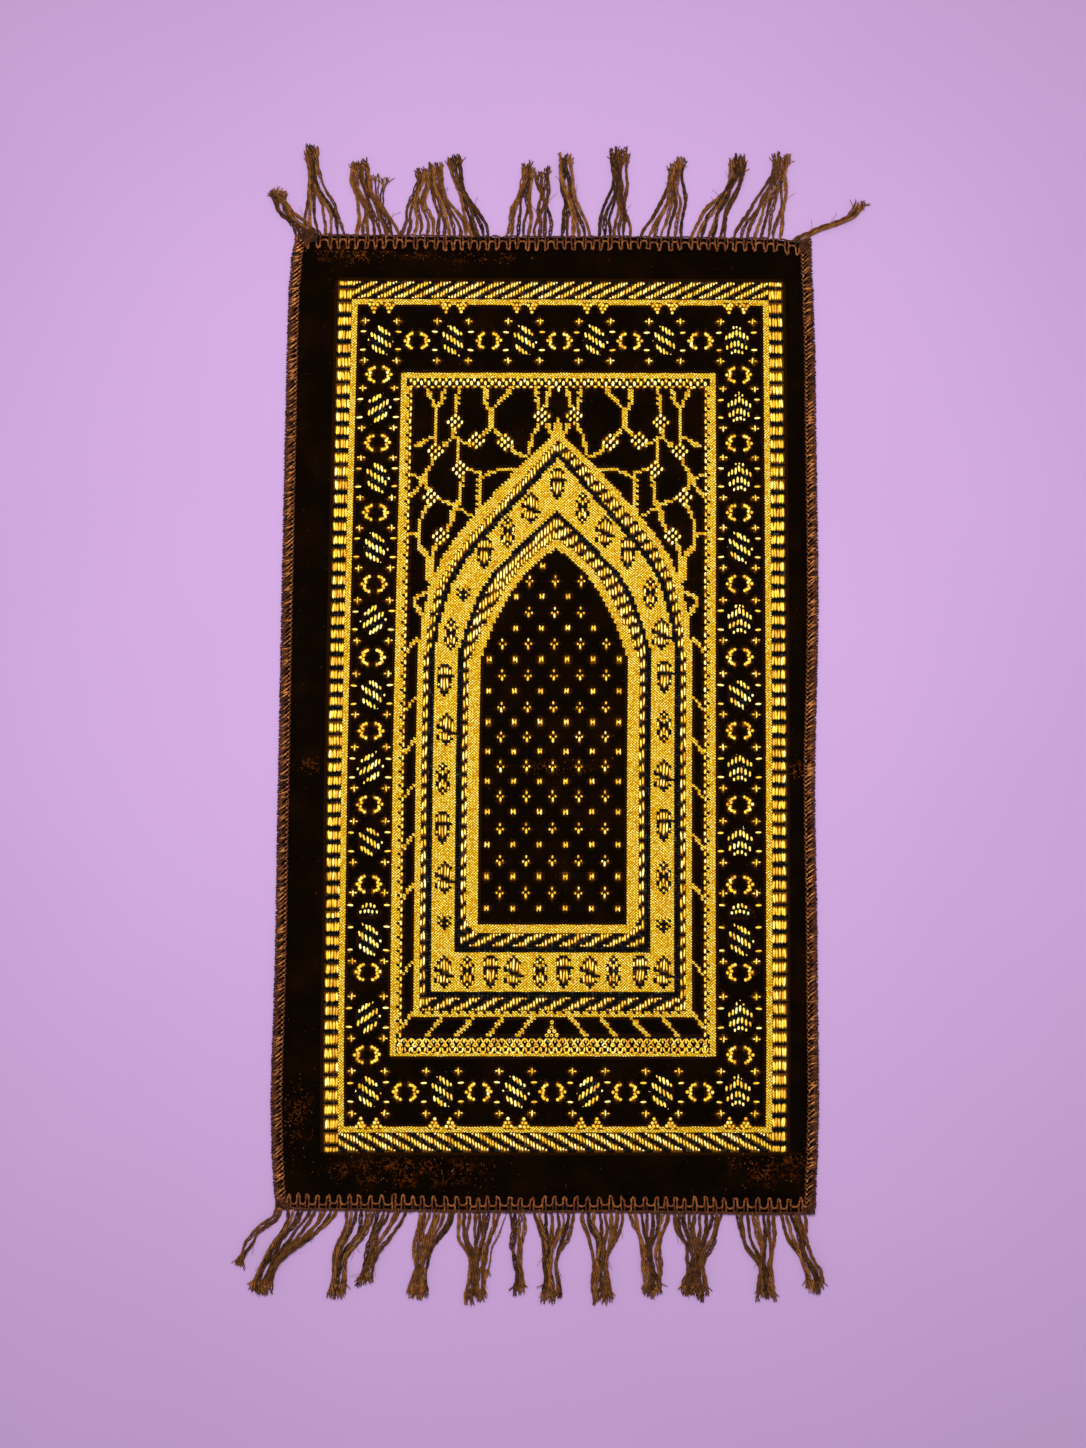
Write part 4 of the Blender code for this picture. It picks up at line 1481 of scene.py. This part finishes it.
    @staticmethod
    def boundary(tall: int, wide: int) -> list[int]:
        """Lists the points round a grid.

        Args:
            tall: How many rows of points it has.
            wide: How many columns.

        Returns:
            The numbers of the points on its rim, in order.
        """
        top = list(range(wide))
        right = [row * wide + wide - 1 for row in range(1, tall)]
        bottom = [(tall - 1) * wide + column for column in range(wide - 2, -1, -1)]
        left = [row * wide for row in range(tall - 2, 0, -1)]
        return top + right + bottom + left

    @staticmethod
    def tidy(mesh: Mesh) -> None:
        """Merges the doubled corners of the underside and turns every face outwards."""
        made = bmesh.new()
        made.from_mesh(mesh)
        bmesh.ops.remove_doubles(made, verts=made.verts, dist=0.00001)
        bmesh.ops.recalc_face_normals(made, faces=made.faces)
        made.to_mesh(mesh)
        made.free()
        mesh.shade_flat()


@dataclass
class GoldYarn:
    """The gold and charcoal yarn that lies on the woven floor."""

    chart: PatternChart
    floor: float = 0.0031
    grain_half: tuple[float, float, float] = (0.00130, 0.00064, 0.00076)
    thread_half: tuple[float, float, float] = (0.00178, 0.00160, 0.00080)
    float_rise: float = 0.00100
    barrel: float = 1.12

    def flat_grains(self) -> list[Grain]:
        """Returns the grains of the flat gold: two short rows to a cell, in wavy ribs."""
        ground, rng = self.chart.ground, np.random.default_rng(SEED + 1)
        grains = []
        for row, column in np.argwhere(self.chart.cells == Cell.FLAT):
            for half_row in (0, 1):
                line = 2 * row + half_row
                across = column + 0.5 + (0.22 if line % 2 else -0.22) + rng.uniform(-0.10, 0.10)
                wave = TURN * (across / 9.0 + 0.23 * math.sin(row / 6.0)) + row * 0.35
                down = row + 0.25 + 0.5 * half_row + 0.16 * math.sin(wave) + rng.uniform(-0.06, 0.06)
                turn = 0.30 * math.cos(wave) + rng.uniform(-0.35, 0.35)
                grow = rng.uniform(0.85, 1.12)
                long, tall, rise = self.grain_half
                tone = float(np.clip(rng.normal(0.60, 0.35), 0.0, 1.0))
                spot = ground.spot(across, down, self.floor + rng.uniform(0, 0.00015))
                grains.append(Grain(spot, (long * grow, tall * grow, rise), turn, tone))
        return grains

    def thread_grains(self) -> list[Grain]:
        """Returns the grains of the charcoal threads, one to a cell, in level ribs."""
        ground, rng = self.chart.ground, np.random.default_rng(SEED + 2)
        grains = []
        for row, column in np.argwhere(self.chart.cells == Cell.THREAD):
            spot = ground.spot(column + 0.5 + rng.uniform(-0.1, 0.1), row + 0.5, self.floor)
            turn, tone = rng.uniform(-0.2, 0.2), float(np.clip(rng.normal(0.4, 0.2), 0, 1))
            grains.append(Grain(spot, self.thread_half, turn, tone))
        return grains

    def float_grains(self) -> list[Grain]:
        """Returns the grains of the upright floats, one to each."""
        ground, rng = self.chart.ground, np.random.default_rng(SEED + 3)
        grains = []
        for item in self.chart.floats:
            tall = (item.bottom - item.top) * ground.cell_height / 2
            wide = item.wide * self.barrel * ground.cell_width / 2
            column = item.column + rng.uniform(-0.13, 0.13)
            middle = (item.top + item.bottom) / 2 + rng.uniform(-0.18, 0.18)
            spot = ground.spot(column, middle, self.floor + 0.0001)
            tone = float(np.clip(0.30 + 0.55 * item.pale + rng.normal(0, 0.20), 0.05, 1.0))
            size = (wide * rng.uniform(0.88, 1.10), tall * rng.uniform(0.92, 1.04), self.float_rise)
            grains.append(Grain(spot, size, item.turn + rng.uniform(-0.12, 0.12), tone))
        return grains

    def build(self) -> list[Object]:
        """Builds the yarn.

        Returns:
            Its pieces.
        """
        tree = grain_tree()
        upright = {"Segments": 6, "Rings": 3, "Lay Down": math.pi / 2}
        pieces = []
        for name, grains, parts, finish, values in (
                ("gold_weave", self.flat_grains(), 3, GOLD_GROUND, {}),
                ("gold_floats", self.float_grains(), 2, GOLD_FLOAT, upright),
                ("charcoal_threads", self.thread_grains(), 1, CHARCOAL, {})):
            values = {**values, "Material": finish.material()}
            for part in range(parts):
                piece_name = f"{name}_{part + 1}" if parts > 1 else name
                piece = scatter(piece_name, grains[part::parts], tree, values)
                attach(piece, "gold_yarn")
                pieces.append(piece)
        return pieces


@dataclass
class SideBinding(Yarnwork):
    """The thick yarn that overcasts a long edge."""

    outline: Outline
    side: Side
    stitch_pitch: float = 0.0049
    chain_inset: float = 0.0108
    slant: float = 0.0062
    top: float = 0.0040
    underside: float = 0.0008

    # How far along, how far in, how high and how light each point of a loop of the chain is; its
    # lightness is painted shade and highlight that make each loop look round.
    CHAIN = ((0.0, -0.0014, 0.0005, 1.0), (0.3, 0.0009, 0.0, 0.45), (0.6, 0.0012, -0.0001, 0.1),
             (0.85, -0.0004, 0.0003, 0.5))

    def strands(self) -> list[Strand]:
        """Lays the stitches, the wraps between them and the chain along them.

        Returns:
            The strands.
        """
        rng = np.random.default_rng(SEED + 20 + list(Side).index(self.side))
        half = self.outline.length / 2 - 0.003
        strands: list[Strand] = []
        chain: list[tuple[float, float, float]] = []
        painted_shade_tones: list[float] = []
        y = -half
        while y < half:
            knot = y + rng.uniform(-0.0006, 0.0006)
            strands.append(self.stitch(knot, -self.lean * self.slant * rng.uniform(0.8, 1.2), rng))
            if rng.uniform() < 0.55:
                strands.append(self.stitch(knot, -self.lean * self.slant * rng.uniform(0.2, 0.6), rng))
            for share in (0.25, 0.75):
                place = y + self.stitch_pitch * share + rng.uniform(-0.0004, 0.0004)
                strands.append(self.wrap(place, rng))
            # Each loop of the chain takes its painted shade and highlight from CHAIN.
            for share, inset, lift, tone in self.CHAIN:
                inward = self.chain_inset + inset + rng.uniform(-0.0002, 0.0002)
                chain.append(self.outline.point(self.side, knot + share * self.stitch_pitch, inward,
                                                self.top + lift))
                painted_shade_tones.append(tone)
            y += self.stitch_pitch * rng.uniform(0.78, 1.22)
        strands.append(Strand(np.array(chain), 0.00058, 0.00036, 2, np.array(painted_shade_tones)))
        return strands

    @property
    def lean(self) -> float:
        """Which way the stitches lean: they rise to the right on both sides of the rug."""
        return -self.side.value[1][0]

    def stitch(self, knot: float, slant: float, rng: np.random.Generator) -> Strand:
        """Lays one long stitch from a knot of the chain over the edge and back underneath.

        Args:
            knot: The y of the knot.
            slant: How much further up the stitch crosses the edge.
            rng: The source of its unevenness.

        Returns:
            The stitch.
        """
        path = ((self.chain_inset, 0.0, self.top - 0.0006), (0.0096, 0.10, self.top + 0.0003),
                (0.0072, 0.42, self.top + 0.0005), (0.0046, 0.76, self.top + 0.0002),
                (0.0020, 0.97, self.top - 0.0006), (0.0004, 1.0, 0.0024), (0.0016, 1.0, 0.0010),
                (0.0105, 0.5, self.underside))
        points = self.outline.follow(self.side, knot, path, slant)
        # Painted shade along the stitch: darkest at the knot, lightest across the top, darker again over
        # the edge and underneath.
        painted_shade_tones = rng.uniform(0.10, 1.0) * np.array([0.15, 0.55, 1.0, 1.0, 0.8, 0.5, 0.4, 0.3])
        return Strand(points, 0.00066, 0.00048, 2, painted_shade_tones, rng.uniform(0, TURN))

    def wrap(self, y: float, rng: np.random.Generator) -> Strand:
        """Lays one short, darker wrap round the outer half of the edge.

        Args:
            y: Where it lies.
            rng: The source of its unevenness.

        Returns:
            The wrap.
        """
        reach, rise = rng.uniform(0.0040, 0.0066), -self.lean * 0.0022
        out = rng.uniform(-0.0006, 0.0004)
        path = ((reach, -rise, self.top - 0.0004), (0.0036, 0.0, self.top),
                (out + 0.0014, rise, self.top - 0.0008), (out, rise, 0.0024),
                (out + 0.0012, rise, 0.0010), (0.0060, 0.0, self.underside))
        points = self.outline.follow(self.side, y, path)
        # Painted shade along the wrap: lightest on top, darker over the edge and underneath.
        painted_shade_tones = rng.uniform(0.0, 0.5) * np.array([0.2, 1.0, 1.0, 0.6, 0.4, 0.3])
        return Strand(points, 0.00088, 0.0, 1, painted_shade_tones)

    def build(self) -> Object:
        """Builds the binding and returns its piece."""
        name = self.side.value[0]
        piece = self.spin(f"overcast_{name}", self.strands(), {
            "Sides": 4, "Twist Length": 0.006, "Reference": (0.0, 1.0, 0.0), "Looseness": 0.0007})
        attach(piece, "binding_yarn", f"binding_{name}")
        return piece


@dataclass
class EndStitches(Yarnwork):
    """The open row of stitches that locks a cut end, with a chain along its edge."""

    outline: Outline
    side: Side
    pitch: float = 0.0113
    eyelet: float = 0.0163
    turn_back: float = 0.0060
    narrow: float = 0.10
    leg_bow: float = 0.060
    squareness: float = 0.62
    steps: int = 14
    top: float = 0.0040
    underside: float = 0.0008

    def strands(self) -> list[Strand]:
        """Lays the winding stitch, the bars under it and the chain along the edge.

        Returns:
            The strands.
        """
        rng = np.random.default_rng(SEED + 30 + list(Side).index(self.side))
        half = self.outline.width / 2 - 0.010
        strands: list[Strand] = []
        winding: list[tuple[float, float, float]] = []
        chain: list[tuple[float, float, float]] = []
        x = -half
        while x < half:
            pitch = self.pitch * rng.uniform(0.80, 1.20)
            deep = self.eyelet + rng.uniform(-0.0022, 0.0016)
            back = self.turn_back + rng.uniform(-0.0010, 0.0010)
            skew = rng.uniform(-0.0014, 0.0014)
            for step in range(self.steps):
                share = step / self.steps
                swing = math.cos(TURN * share)
                reach = math.copysign(abs(swing) ** self.squareness, swing)
                inset = (deep + back) / 2 + (deep - back) / 2 * reach
                along = pitch * (share - self.narrow * math.sin(TURN * share)
                                 + self.leg_bow * math.sin(2 * TURN * share)) + skew * max(swing, 0.0)
                rise = self.top + 0.0004 + 0.0003 * swing
                winding.append(self.outline.point(self.side, x + along, inset, rise))
            for share in (-0.15, 0.16):
                strands.append(self.bar(x + pitch * share, back + 0.0030, rng))
            for share, lift in ((0.0, 0.0003), (0.35, -0.0001), (0.7, 0.0002)):
                inset = 0.0006 + (0.0005 * math.sin(TURN * share) + rng.uniform(-0.0005, 0.0005))
                chain.append(self.outline.point(self.side, x + share * pitch, inset, self.top + lift))
            x += pitch
        strands.append(Strand(np.array(winding), 0.00076, 0.00056, 2, 0.55))
        strands.append(Strand(np.array(chain), 0.00080, 0.00050, 2, 0.25))
        return strands

    def bar(self, x: float, depth: float, rng: np.random.Generator) -> Strand:
        """Lays one short bar from a leg of the winding stitch round the cut edge.

        Args:
            x: Where the bar lies.
            depth: How far in it starts.
            rng: The source of its unevenness.

        Returns:
            The bar.
        """
        lean = rng.uniform(-0.0007, 0.0007)
        path = ((depth, lean, self.top + 0.0002), (depth / 2, lean / 2, self.top + 0.0001),
                (0.0012, 0.0, self.top - 0.0002), (0.0001, 0.0, 0.0024), (0.0012, 0.0, 0.0010),
                (0.0070, 0.0, self.underside))
        points = self.outline.follow(self.side, x, path)
        tone = rng.uniform(0.1, 0.6)
        return Strand(points, 0.00074, 0.00042, 2, tone, rng.uniform(0, TURN))

    def build(self) -> Object:
        """Builds the stitches and returns their piece."""
        name = self.side.value[0]
        piece = self.spin(f"end_stitches_{name}", self.strands(), {
            "Sides": 5, "Twist Length": 0.007, "Reference": (1.0, 0.0, 0.0), "Looseness": 0.0007})
        attach(piece, "binding_yarn", f"binding_{name}")
        return piece


class Tangle(NamedTuple):
    """A knot of loose yarn at a corner: its middle, its radius and its loops."""

    x: float
    y: float
    radius: float
    loops: int


@dataclass
class CornerKnots(Yarnwork):
    """The fuzzy yarn knots where the edge stitches end."""

    tangles: tuple[Tangle, ...] = (
        Tangle(-0.2770, 0.5475, 0.0112, 44),
        Tangle(0.2875, 0.5400, 0.0070, 18),
        Tangle(-0.2850, -0.5440, 0.0055, 12),
        Tangle(0.2900, -0.5440, 0.0055, 12),
    )
    steps: int = 12

    def build(self) -> Object:
        """Builds the knots and returns their piece."""
        rng = np.random.default_rng(SEED + 60)
        strands = []
        for tangle in self.tangles:
            for _ in range(tangle.loops):
                turn = np.linspace(0.0, rng.uniform(0.5, 1.1), self.steps) * TURN + rng.uniform(0, TURN)
                long = tangle.radius * rng.uniform(0.35, 0.8)
                short = tangle.radius * rng.uniform(0.15, 0.5)
                heading = rng.uniform(0, TURN)
                across, along = long * np.cos(turn), short * np.sin(turn)
                middle = rng.normal(0, tangle.radius * 0.25, 2)
                x = tangle.x + middle[0] + across * math.cos(heading) - along * math.sin(heading)
                y = tangle.y + middle[1] + across * math.sin(heading) + along * math.cos(heading)
                away = np.hypot(x - tangle.x, y - tangle.y) / tangle.radius
                z = 0.0062 - 0.0012 * np.clip(away, 0, 1) + rng.uniform(-0.0010, 0.0006)
                points = np.stack([x, y, z], axis=1)
                strands.append(Strand(points, 0.00062, 0.0004, 2, rng.uniform(0.0, 0.34)))
        piece = self.spin("corner_knots", strands, {
            "Sides": 4, "Twist Length": 0.006, "Looseness": 0.0012})
        attach(piece, "binding_yarn")
        return piece


@dataclass
class StrayFibres:
    """Short loose fibres that lie on the pile, thickest where it is brushed."""

    velvet: VelvetFinish
    outline: Outline
    chart: PatternChart
    loose: int = 700
    brushed: int = 520
    height: float = 0.0041

    def build(self) -> Object:
        """Builds the fibres and returns their piece."""
        rng = np.random.default_rng(SEED + 70)
        grains: list[Grain] = []
        half, long = self.outline.width / 2 - 0.016, self.outline.length / 2 - 0.020
        for _ in range(self.loose):
            x, y = rng.uniform(-half, half), rng.uniform(-long, long)
            self.lay(grains, x, y, rng.uniform(0.0, 0.3), rng)
        patches = self.velvet.patches
        weights = np.array([patch.wide * patch.tall * patch.strength for patch in patches])
        for index in rng.choice(len(patches), self.brushed, p=weights / weights.sum()):
            patch = patches[index]
            x = float(np.clip(rng.normal(patch.x, patch.wide * 0.5), -half, half))
            y = float(np.clip(rng.normal(patch.y, patch.tall * 0.5), -long, long))
            self.lay(grains, x, y, rng.uniform(0.1, 0.7), rng)
        piece = scatter("stray_fibres", grains, grain_tree(), {"Material": FLECKS.material()})
        attach(piece, "velvet")
        return piece

    def lay(self, grains: list[Grain], x: float, y: float, tone: float,
            rng: np.random.Generator) -> None:
        """Lays one fibre, unless the place is woven.

        Args:
            grains: What the fibre is added to.
            x: Its place across.
            y: Its place along the rug.
            tone: How light it is.
            rng: The source of its size and heading.
        """
        ground = self.chart.ground
        row = int((ground.top - y) / ground.cell_height)
        column = int((x - ground.left) / ground.cell_width)
        if self.chart.on_chart(row, column) and self.chart.cells[row, column] != Cell.PILE:
            return
        size = (rng.uniform(0.0004, 0.0017), rng.uniform(0.00018, 0.00038), 0.00025)
        grains.append(Grain((x, y, self.height), size, rng.uniform(0, TURN), tone))


class Lock(NamedTuple):
    """How a few neighbouring strands sway together: how far, in how many waves, from where."""

    reach: float
    waves: float
    start: float


@dataclass
class Fringe(Yarnwork):
    """The yarn strands of one end, gathered in loose bunches with frayed tips."""

    outline: Outline
    side: Side
    bunches: tuple[Bunch, ...]
    ply_radius: float = 0.00088
    ply_spread: float = 0.00125
    steps: int = 26
    neck: float = 0.62
    lock_size: int = 3

    def strands(self) -> tuple[list[Strand], list[Strand]]:
        """Lays every strand.

        Returns:
            The strands themselves, and the thin ends and wisps of fibre.
        """
        rng = np.random.default_rng(SEED + 40 + list(Side).index(self.side))
        strands: list[Strand] = []
        fibres: list[Strand] = []
        for bunch in self.bunches:
            places = np.linspace(0.0, 1.0, bunch.strands) if bunch.strands > 1 else np.array([0.5])
            tips = places[np.argsort(places + rng.normal(0, 0.35, bunch.strands))]
            for number, (root, tip) in enumerate(zip(places, tips)):
                if number % self.lock_size == 0:
                    sway, waves = rng.uniform(0.0015, 0.0038), rng.uniform(0.8, 1.6)
                    lock = Lock(sway, waves, rng.uniform(0, TURN))
                strand = self.strand(bunch, root, tip, number, lock, rng)
                strands.append(strand)
                fibres.extend(self.frayed(strand, rng))
        return strands, fibres

    def strand(self, bunch: Bunch, root: float, tip: float, number: int, lock: Lock,
               rng: np.random.Generator) -> Strand:
        """Lays one strand of a bunch from the edge to its tip.

        Args:
            bunch: The bunch.
            root: Where it starts across the bunch's roots, from 0 to 1.
            tip: Where it ends across the bunch's tips, from 0 to 1.
            number: Its number in the bunch, which sets how high it lies at crossings.
            lock: How the lock that it belongs to sways.
            rng: The source of its unevenness.

        Returns:
            The strand.
        """
        t = np.linspace(0.0, 1.0, self.steps)
        root_x = bunch.root_from + (bunch.root_to - bunch.root_from) * root
        tip_middle = (bunch.tip_from + bunch.tip_to) / 2
        tip_x = bunch.tip_from + (bunch.tip_to - bunch.tip_from) * tip
        neck_x = tip_middle + (root_x - tip_middle) * 0.20 + (tip - 0.5) * 0.005
        edge = self.outline.edge(self.side, root_x)
        out = self.side.value[1][1]
        reach = bunch.reach * rng.uniform(0.93, 1.04)
        knots = np.array([0.0, 0.22, self.neck, 1.0])
        levels = np.array([root_x, root_x + (neck_x - root_x) * rng.uniform(0.10, 0.35), neck_x, tip_x])
        x = np.interp(t, knots, levels)
        x = np.convolve(np.pad(x, 4, mode="edge"), np.ones(9) / 9, mode="valid")
        swing, waves, start = rng.uniform(0.0006, 0.0018), rng.uniform(1.4, 3.0), rng.uniform(0, 1)
        sway = swing * np.sin(TURN * (t * waves + start))
        sway = sway + lock.reach * np.sin(TURN * t * lock.waves + lock.start)
        x = x + sway * np.sin(np.pi * t) ** 0.6
        y = edge + out * (-0.0018 + (reach + 0.0018) * t)
        layer = 0.0015 * (number % 3)
        z = 0.0020 + layer * np.exp(-((t - self.neck) / 0.25) ** 2)
        z = z + 0.0014 * np.exp(-(t / 0.06) ** 2)
        thick = np.full(self.steps, self.ply_radius * bunch.thin * rng.uniform(0.85, 1.12))
        thick[-4:] *= np.array([0.98, 0.92, 0.84, 0.66])
        swell = 1.0 + 0.35 * np.sin(TURN * (t * 1.7 + rng.uniform(0, 1)))
        spread = self.ply_spread * bunch.thin * swell
        spread[:2] *= 0.5
        spread[-5:] *= np.array([1.05, 1.15, 1.3, 1.5, 1.8])
        return Strand(np.stack([x, y, z], axis=1), thick, spread, int(rng.integers(3, 5)),
                      rng.uniform(0.08, 0.62), rng.uniform(0, TURN))

    def frayed(self, strand: Strand, rng: np.random.Generator) -> list[Strand]:
        """Lays the loose ends at a strand's tip and a few hairs along it.

        Args:
            strand: The strand.
            rng: The source of their number and unevenness.

        Returns:
            The loose ends and the hairs.
        """
        fibres = []
        tip, before = strand.points[-2], strand.points[-6]
        heading = (tip - before) / np.linalg.norm(tip - before)
        across = np.array([-heading[1], heading[0], 0.0])
        share = np.linspace(0.0, 1.0, 5)[:, None]
        thick = np.linspace(0.00076, 0.00050, 5)
        for _ in range(int(rng.integers(4, 7))):
            length, fan = rng.uniform(0.005, 0.010), rng.normal(0, 0.0034)
            points = strand.points[-5] + heading * length * share * 1.3 + across * fan * share ** 1.6
            points[:, 2] = points[:, 2] + rng.uniform(-0.0006, 0.0010) * share[:, 0]
            fibres.append(Strand(points, thick, 0.0, 1, rng.uniform(0.2, 0.8)))
        for _ in range(int(rng.integers(0, 3))):
            start = strand.points[int(rng.integers(4, self.steps - 4))]
            bend, length = rng.normal(0, 0.006), rng.uniform(0.006, 0.018)
            points = start + heading * length * share + across * bend * share ** 1.5
            rise = rng.uniform(-0.001, 0.003) * share[:, 0]
            points[:, 2] = np.clip(points[:, 2] + rise, 0.0005, 0.006)
            fibres.append(Strand(points, 0.00022, 0.0, 1, rng.uniform(0.4, 0.9)))
        return fibres

    def build(self) -> list[Object]:
        """Builds the fringe and returns its pieces."""
        name = self.side.value[0]
        strands, fibres = self.strands()
        yarn = self.spin(f"fringe_{name}_strands", strands, {
            "Sides": 4, "Twist Length": 0.034, "Looseness": 0.0030})
        loose = self.spin(f"fringe_{name}_fibres", fibres, {"Sides": 3, "Looseness": 0.0015})
        attach(yarn, "fringe_yarn", f"fringe_{name}")
        attach(loose, "fringe_yarn")
        return [yarn, loose]


@dataclass
class Studio:
    """The plain floor, the soft light and the camera above the rug."""

    distance: float = 3.249
    tilt: float = math.radians(8.09)
    roll: float = math.radians(0.5)
    target: tuple[float, float, float] = (-0.0056, -0.0128, 0.0)
    lens: float = 48.21
    film_height: float = 24.0
    floor_colour: tuple[float, float, float] = (164, 131, 175)
    lamp_place: tuple[float, float, float] = (-0.04, 0.20, 1.65)
    lamp_size: float = 0.9
    lamp_energy: float = 37.0
    sky: float = 0.62

    def build(self) -> None:
        """Sets the floor, the lamps and the camera."""
        scene = bpy.context.scene
        scene.view_settings.view_transform = "Standard"
        self.floor()
        self.lights(scene)
        camera = bpy.data.objects.new("camera", bpy.data.cameras.new("camera"))
        camera.data.sensor_fit = "VERTICAL"
        camera.data.sensor_height = self.film_height
        camera.data.lens = self.lens
        back = Matrix.Rotation(self.tilt, 4, "X") @ Matrix.Translation((0.0, 0.0, self.distance))
        turned = Matrix.Rotation(self.roll, 4, "Z")
        camera.matrix_world = Matrix.Translation(self.target) @ back @ turned
        scene.collection.objects.link(camera)
        scene.camera = camera

    def floor(self) -> None:
        """Lays the plain pale floor."""
        half = 6.0
        mesh = bpy.data.meshes.new("floor")
        corners = [(-half, -half, 0.0), (half, -half, 0.0), (half, half, 0.0), (-half, half, 0.0)]
        mesh.from_pydata(corners, [], [(0, 1, 2, 3)])
        sketch, shader = new_material("floor paper", 0.9)
        cloudy = sketch.ranged(sketch.noise(sketch.place(), 3.0, 2.0), 0.3, 0.7)
        pale = colour(*self.floor_colour)
        deeper = tuple(value * 0.97 for value in pale[:3]) + (1.0,)
        sketch.feed(shader.inputs["Base Color"], sketch.mixed(cloudy, pale, deeper))
        mesh.materials.append(bpy.data.materials["floor paper"])
        floor = bpy.data.objects.new("floor", mesh)
        bpy.context.scene.collection.objects.link(floor)

    def lights(self, scene: Scene) -> None:
        """Hangs one large soft lamp and lights the surroundings evenly."""
        lamp = bpy.data.objects.new("softbox", bpy.data.lights.new("softbox", "AREA"))
        lamp.data.energy = self.lamp_energy
        lamp.data.shape = "DISK"
        lamp.data.size = self.lamp_size
        lamp.location = self.lamp_place
        scene.collection.objects.link(lamp)
        world = bpy.data.worlds.new("surroundings")
        world.use_nodes = True
        backdrop = world.node_tree.nodes["Background"]
        backdrop.inputs["Color"].default_value = (1.0, 1.0, 1.0, 1.0)
        backdrop.inputs["Strength"].default_value = self.sky
        scene.world = world


TOP_BUNCHES = (
    Bunch(-0.291, -0.268, -0.326, -0.306, 0.052, 7),
    Bunch(-0.282, -0.236, -0.284, -0.271, 0.104, 7),
    Bunch(-0.222, -0.174, -0.231, -0.215, 0.089, 8),
    Bunch(-0.174, -0.136, -0.157, -0.143, 0.080, 6),
    Bunch(-0.130, -0.096, -0.142, -0.129, 0.088, 6),
    Bunch(-0.090, -0.073, -0.120, -0.108, 0.096, 5),
    Bunch(-0.055, -0.027, -0.034, -0.022, 0.087, 5),
    Bunch(-0.020, -0.002, -0.018, -0.004, 0.081, 4),
    Bunch(0.011, 0.044, 0.007, 0.021, 0.098, 6),
    Bunch(0.053, 0.089, 0.067, 0.087, 0.104, 7),
    Bunch(0.100, 0.148, 0.138, 0.153, 0.092, 7),
    Bunch(0.156, 0.196, 0.206, 0.221, 0.096, 7),
    Bunch(0.207, 0.260, 0.254, 0.273, 0.100, 8),
    Bunch(0.271, 0.286, 0.350, 0.360, 0.046, 4),
    Bunch(-0.189, -0.182, -0.212, -0.190, 0.070, 5, 0.42),
)
BOTTOM_BUNCHES = (
    Bunch(-0.288, -0.284, -0.334, -0.331, 0.060, 2),
    Bunch(-0.278, -0.222, -0.319, -0.297, 0.090, 10),
    Bunch(-0.215, -0.182, -0.234, -0.217, 0.093, 7),
    Bunch(-0.179, -0.150, -0.204, -0.188, 0.079, 6),
    Bunch(-0.135, -0.097, -0.148, -0.128, 0.092, 8),
    Bunch(-0.093, -0.048, -0.084, -0.064, 0.097, 9),
    Bunch(-0.037, -0.022, -0.031, -0.023, 0.091, 4),
    Bunch(-0.011, 0.033, -0.002, 0.018, 0.095, 8),
    Bunch(0.042, 0.086, 0.055, 0.074, 0.096, 8),
    Bunch(0.092, 0.136, 0.109, 0.128, 0.090, 8),
    Bunch(0.141, 0.195, 0.152, 0.179, 0.092, 10),
    Bunch(0.208, 0.250, 0.233, 0.253, 0.093, 8),
    Bunch(0.256, 0.282, 0.288, 0.303, 0.084, 6),
    Bunch(-0.046, -0.040, -0.070, -0.062, 0.074, 2, 0.36),
)


def report(pieces: Iterable[Object]) -> None:
    """Logs each piece with its number of triangles."""
    for piece in pieces:
        count = sum(len(face.vertices) - 2 for face in piece.data.polygons)
        LOG.info("%s: %d triangles", piece.name, count)


def main() -> None:
    """Builds the rug and its studio in order."""
    logging.basicConfig(level=logging.INFO, format="%(name)s %(message)s")
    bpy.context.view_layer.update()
    Studio().build()
    outline, ground = Outline(), Ground()
    chart = PatternChart(ground)
    for kind in Cell:
        LOG.info("%s: %d cells", kind.name, int((chart.cells == kind).sum()))
    LOG.info("floats: %d", len(chart.floats))
    cloth = VelvetCloth(outline, chart).build()
    report([cloth])
    report(GoldYarn(chart).build())
    tree = yarn_tree()
    binding_yarn, fringe_yarn = BINDING.material(), FRINGE.material()
    report(SideBinding(tree, binding_yarn, outline, side).build() for side in (Side.LEFT, Side.RIGHT))
    report(EndStitches(tree, binding_yarn, outline, side).build() for side in (Side.BOTTOM, Side.TOP))
    report([CornerKnots(tree, binding_yarn).build()])
    report([StrayFibres(VelvetFinish(), outline, chart).build()])
    for side, bunches in ((Side.TOP, TOP_BUNCHES), (Side.BOTTOM, BOTTOM_BUNCHES)):
        report(Fringe(tree, fringe_yarn, outline, side, bunches).build())


if __name__ == "__main__":
    main()
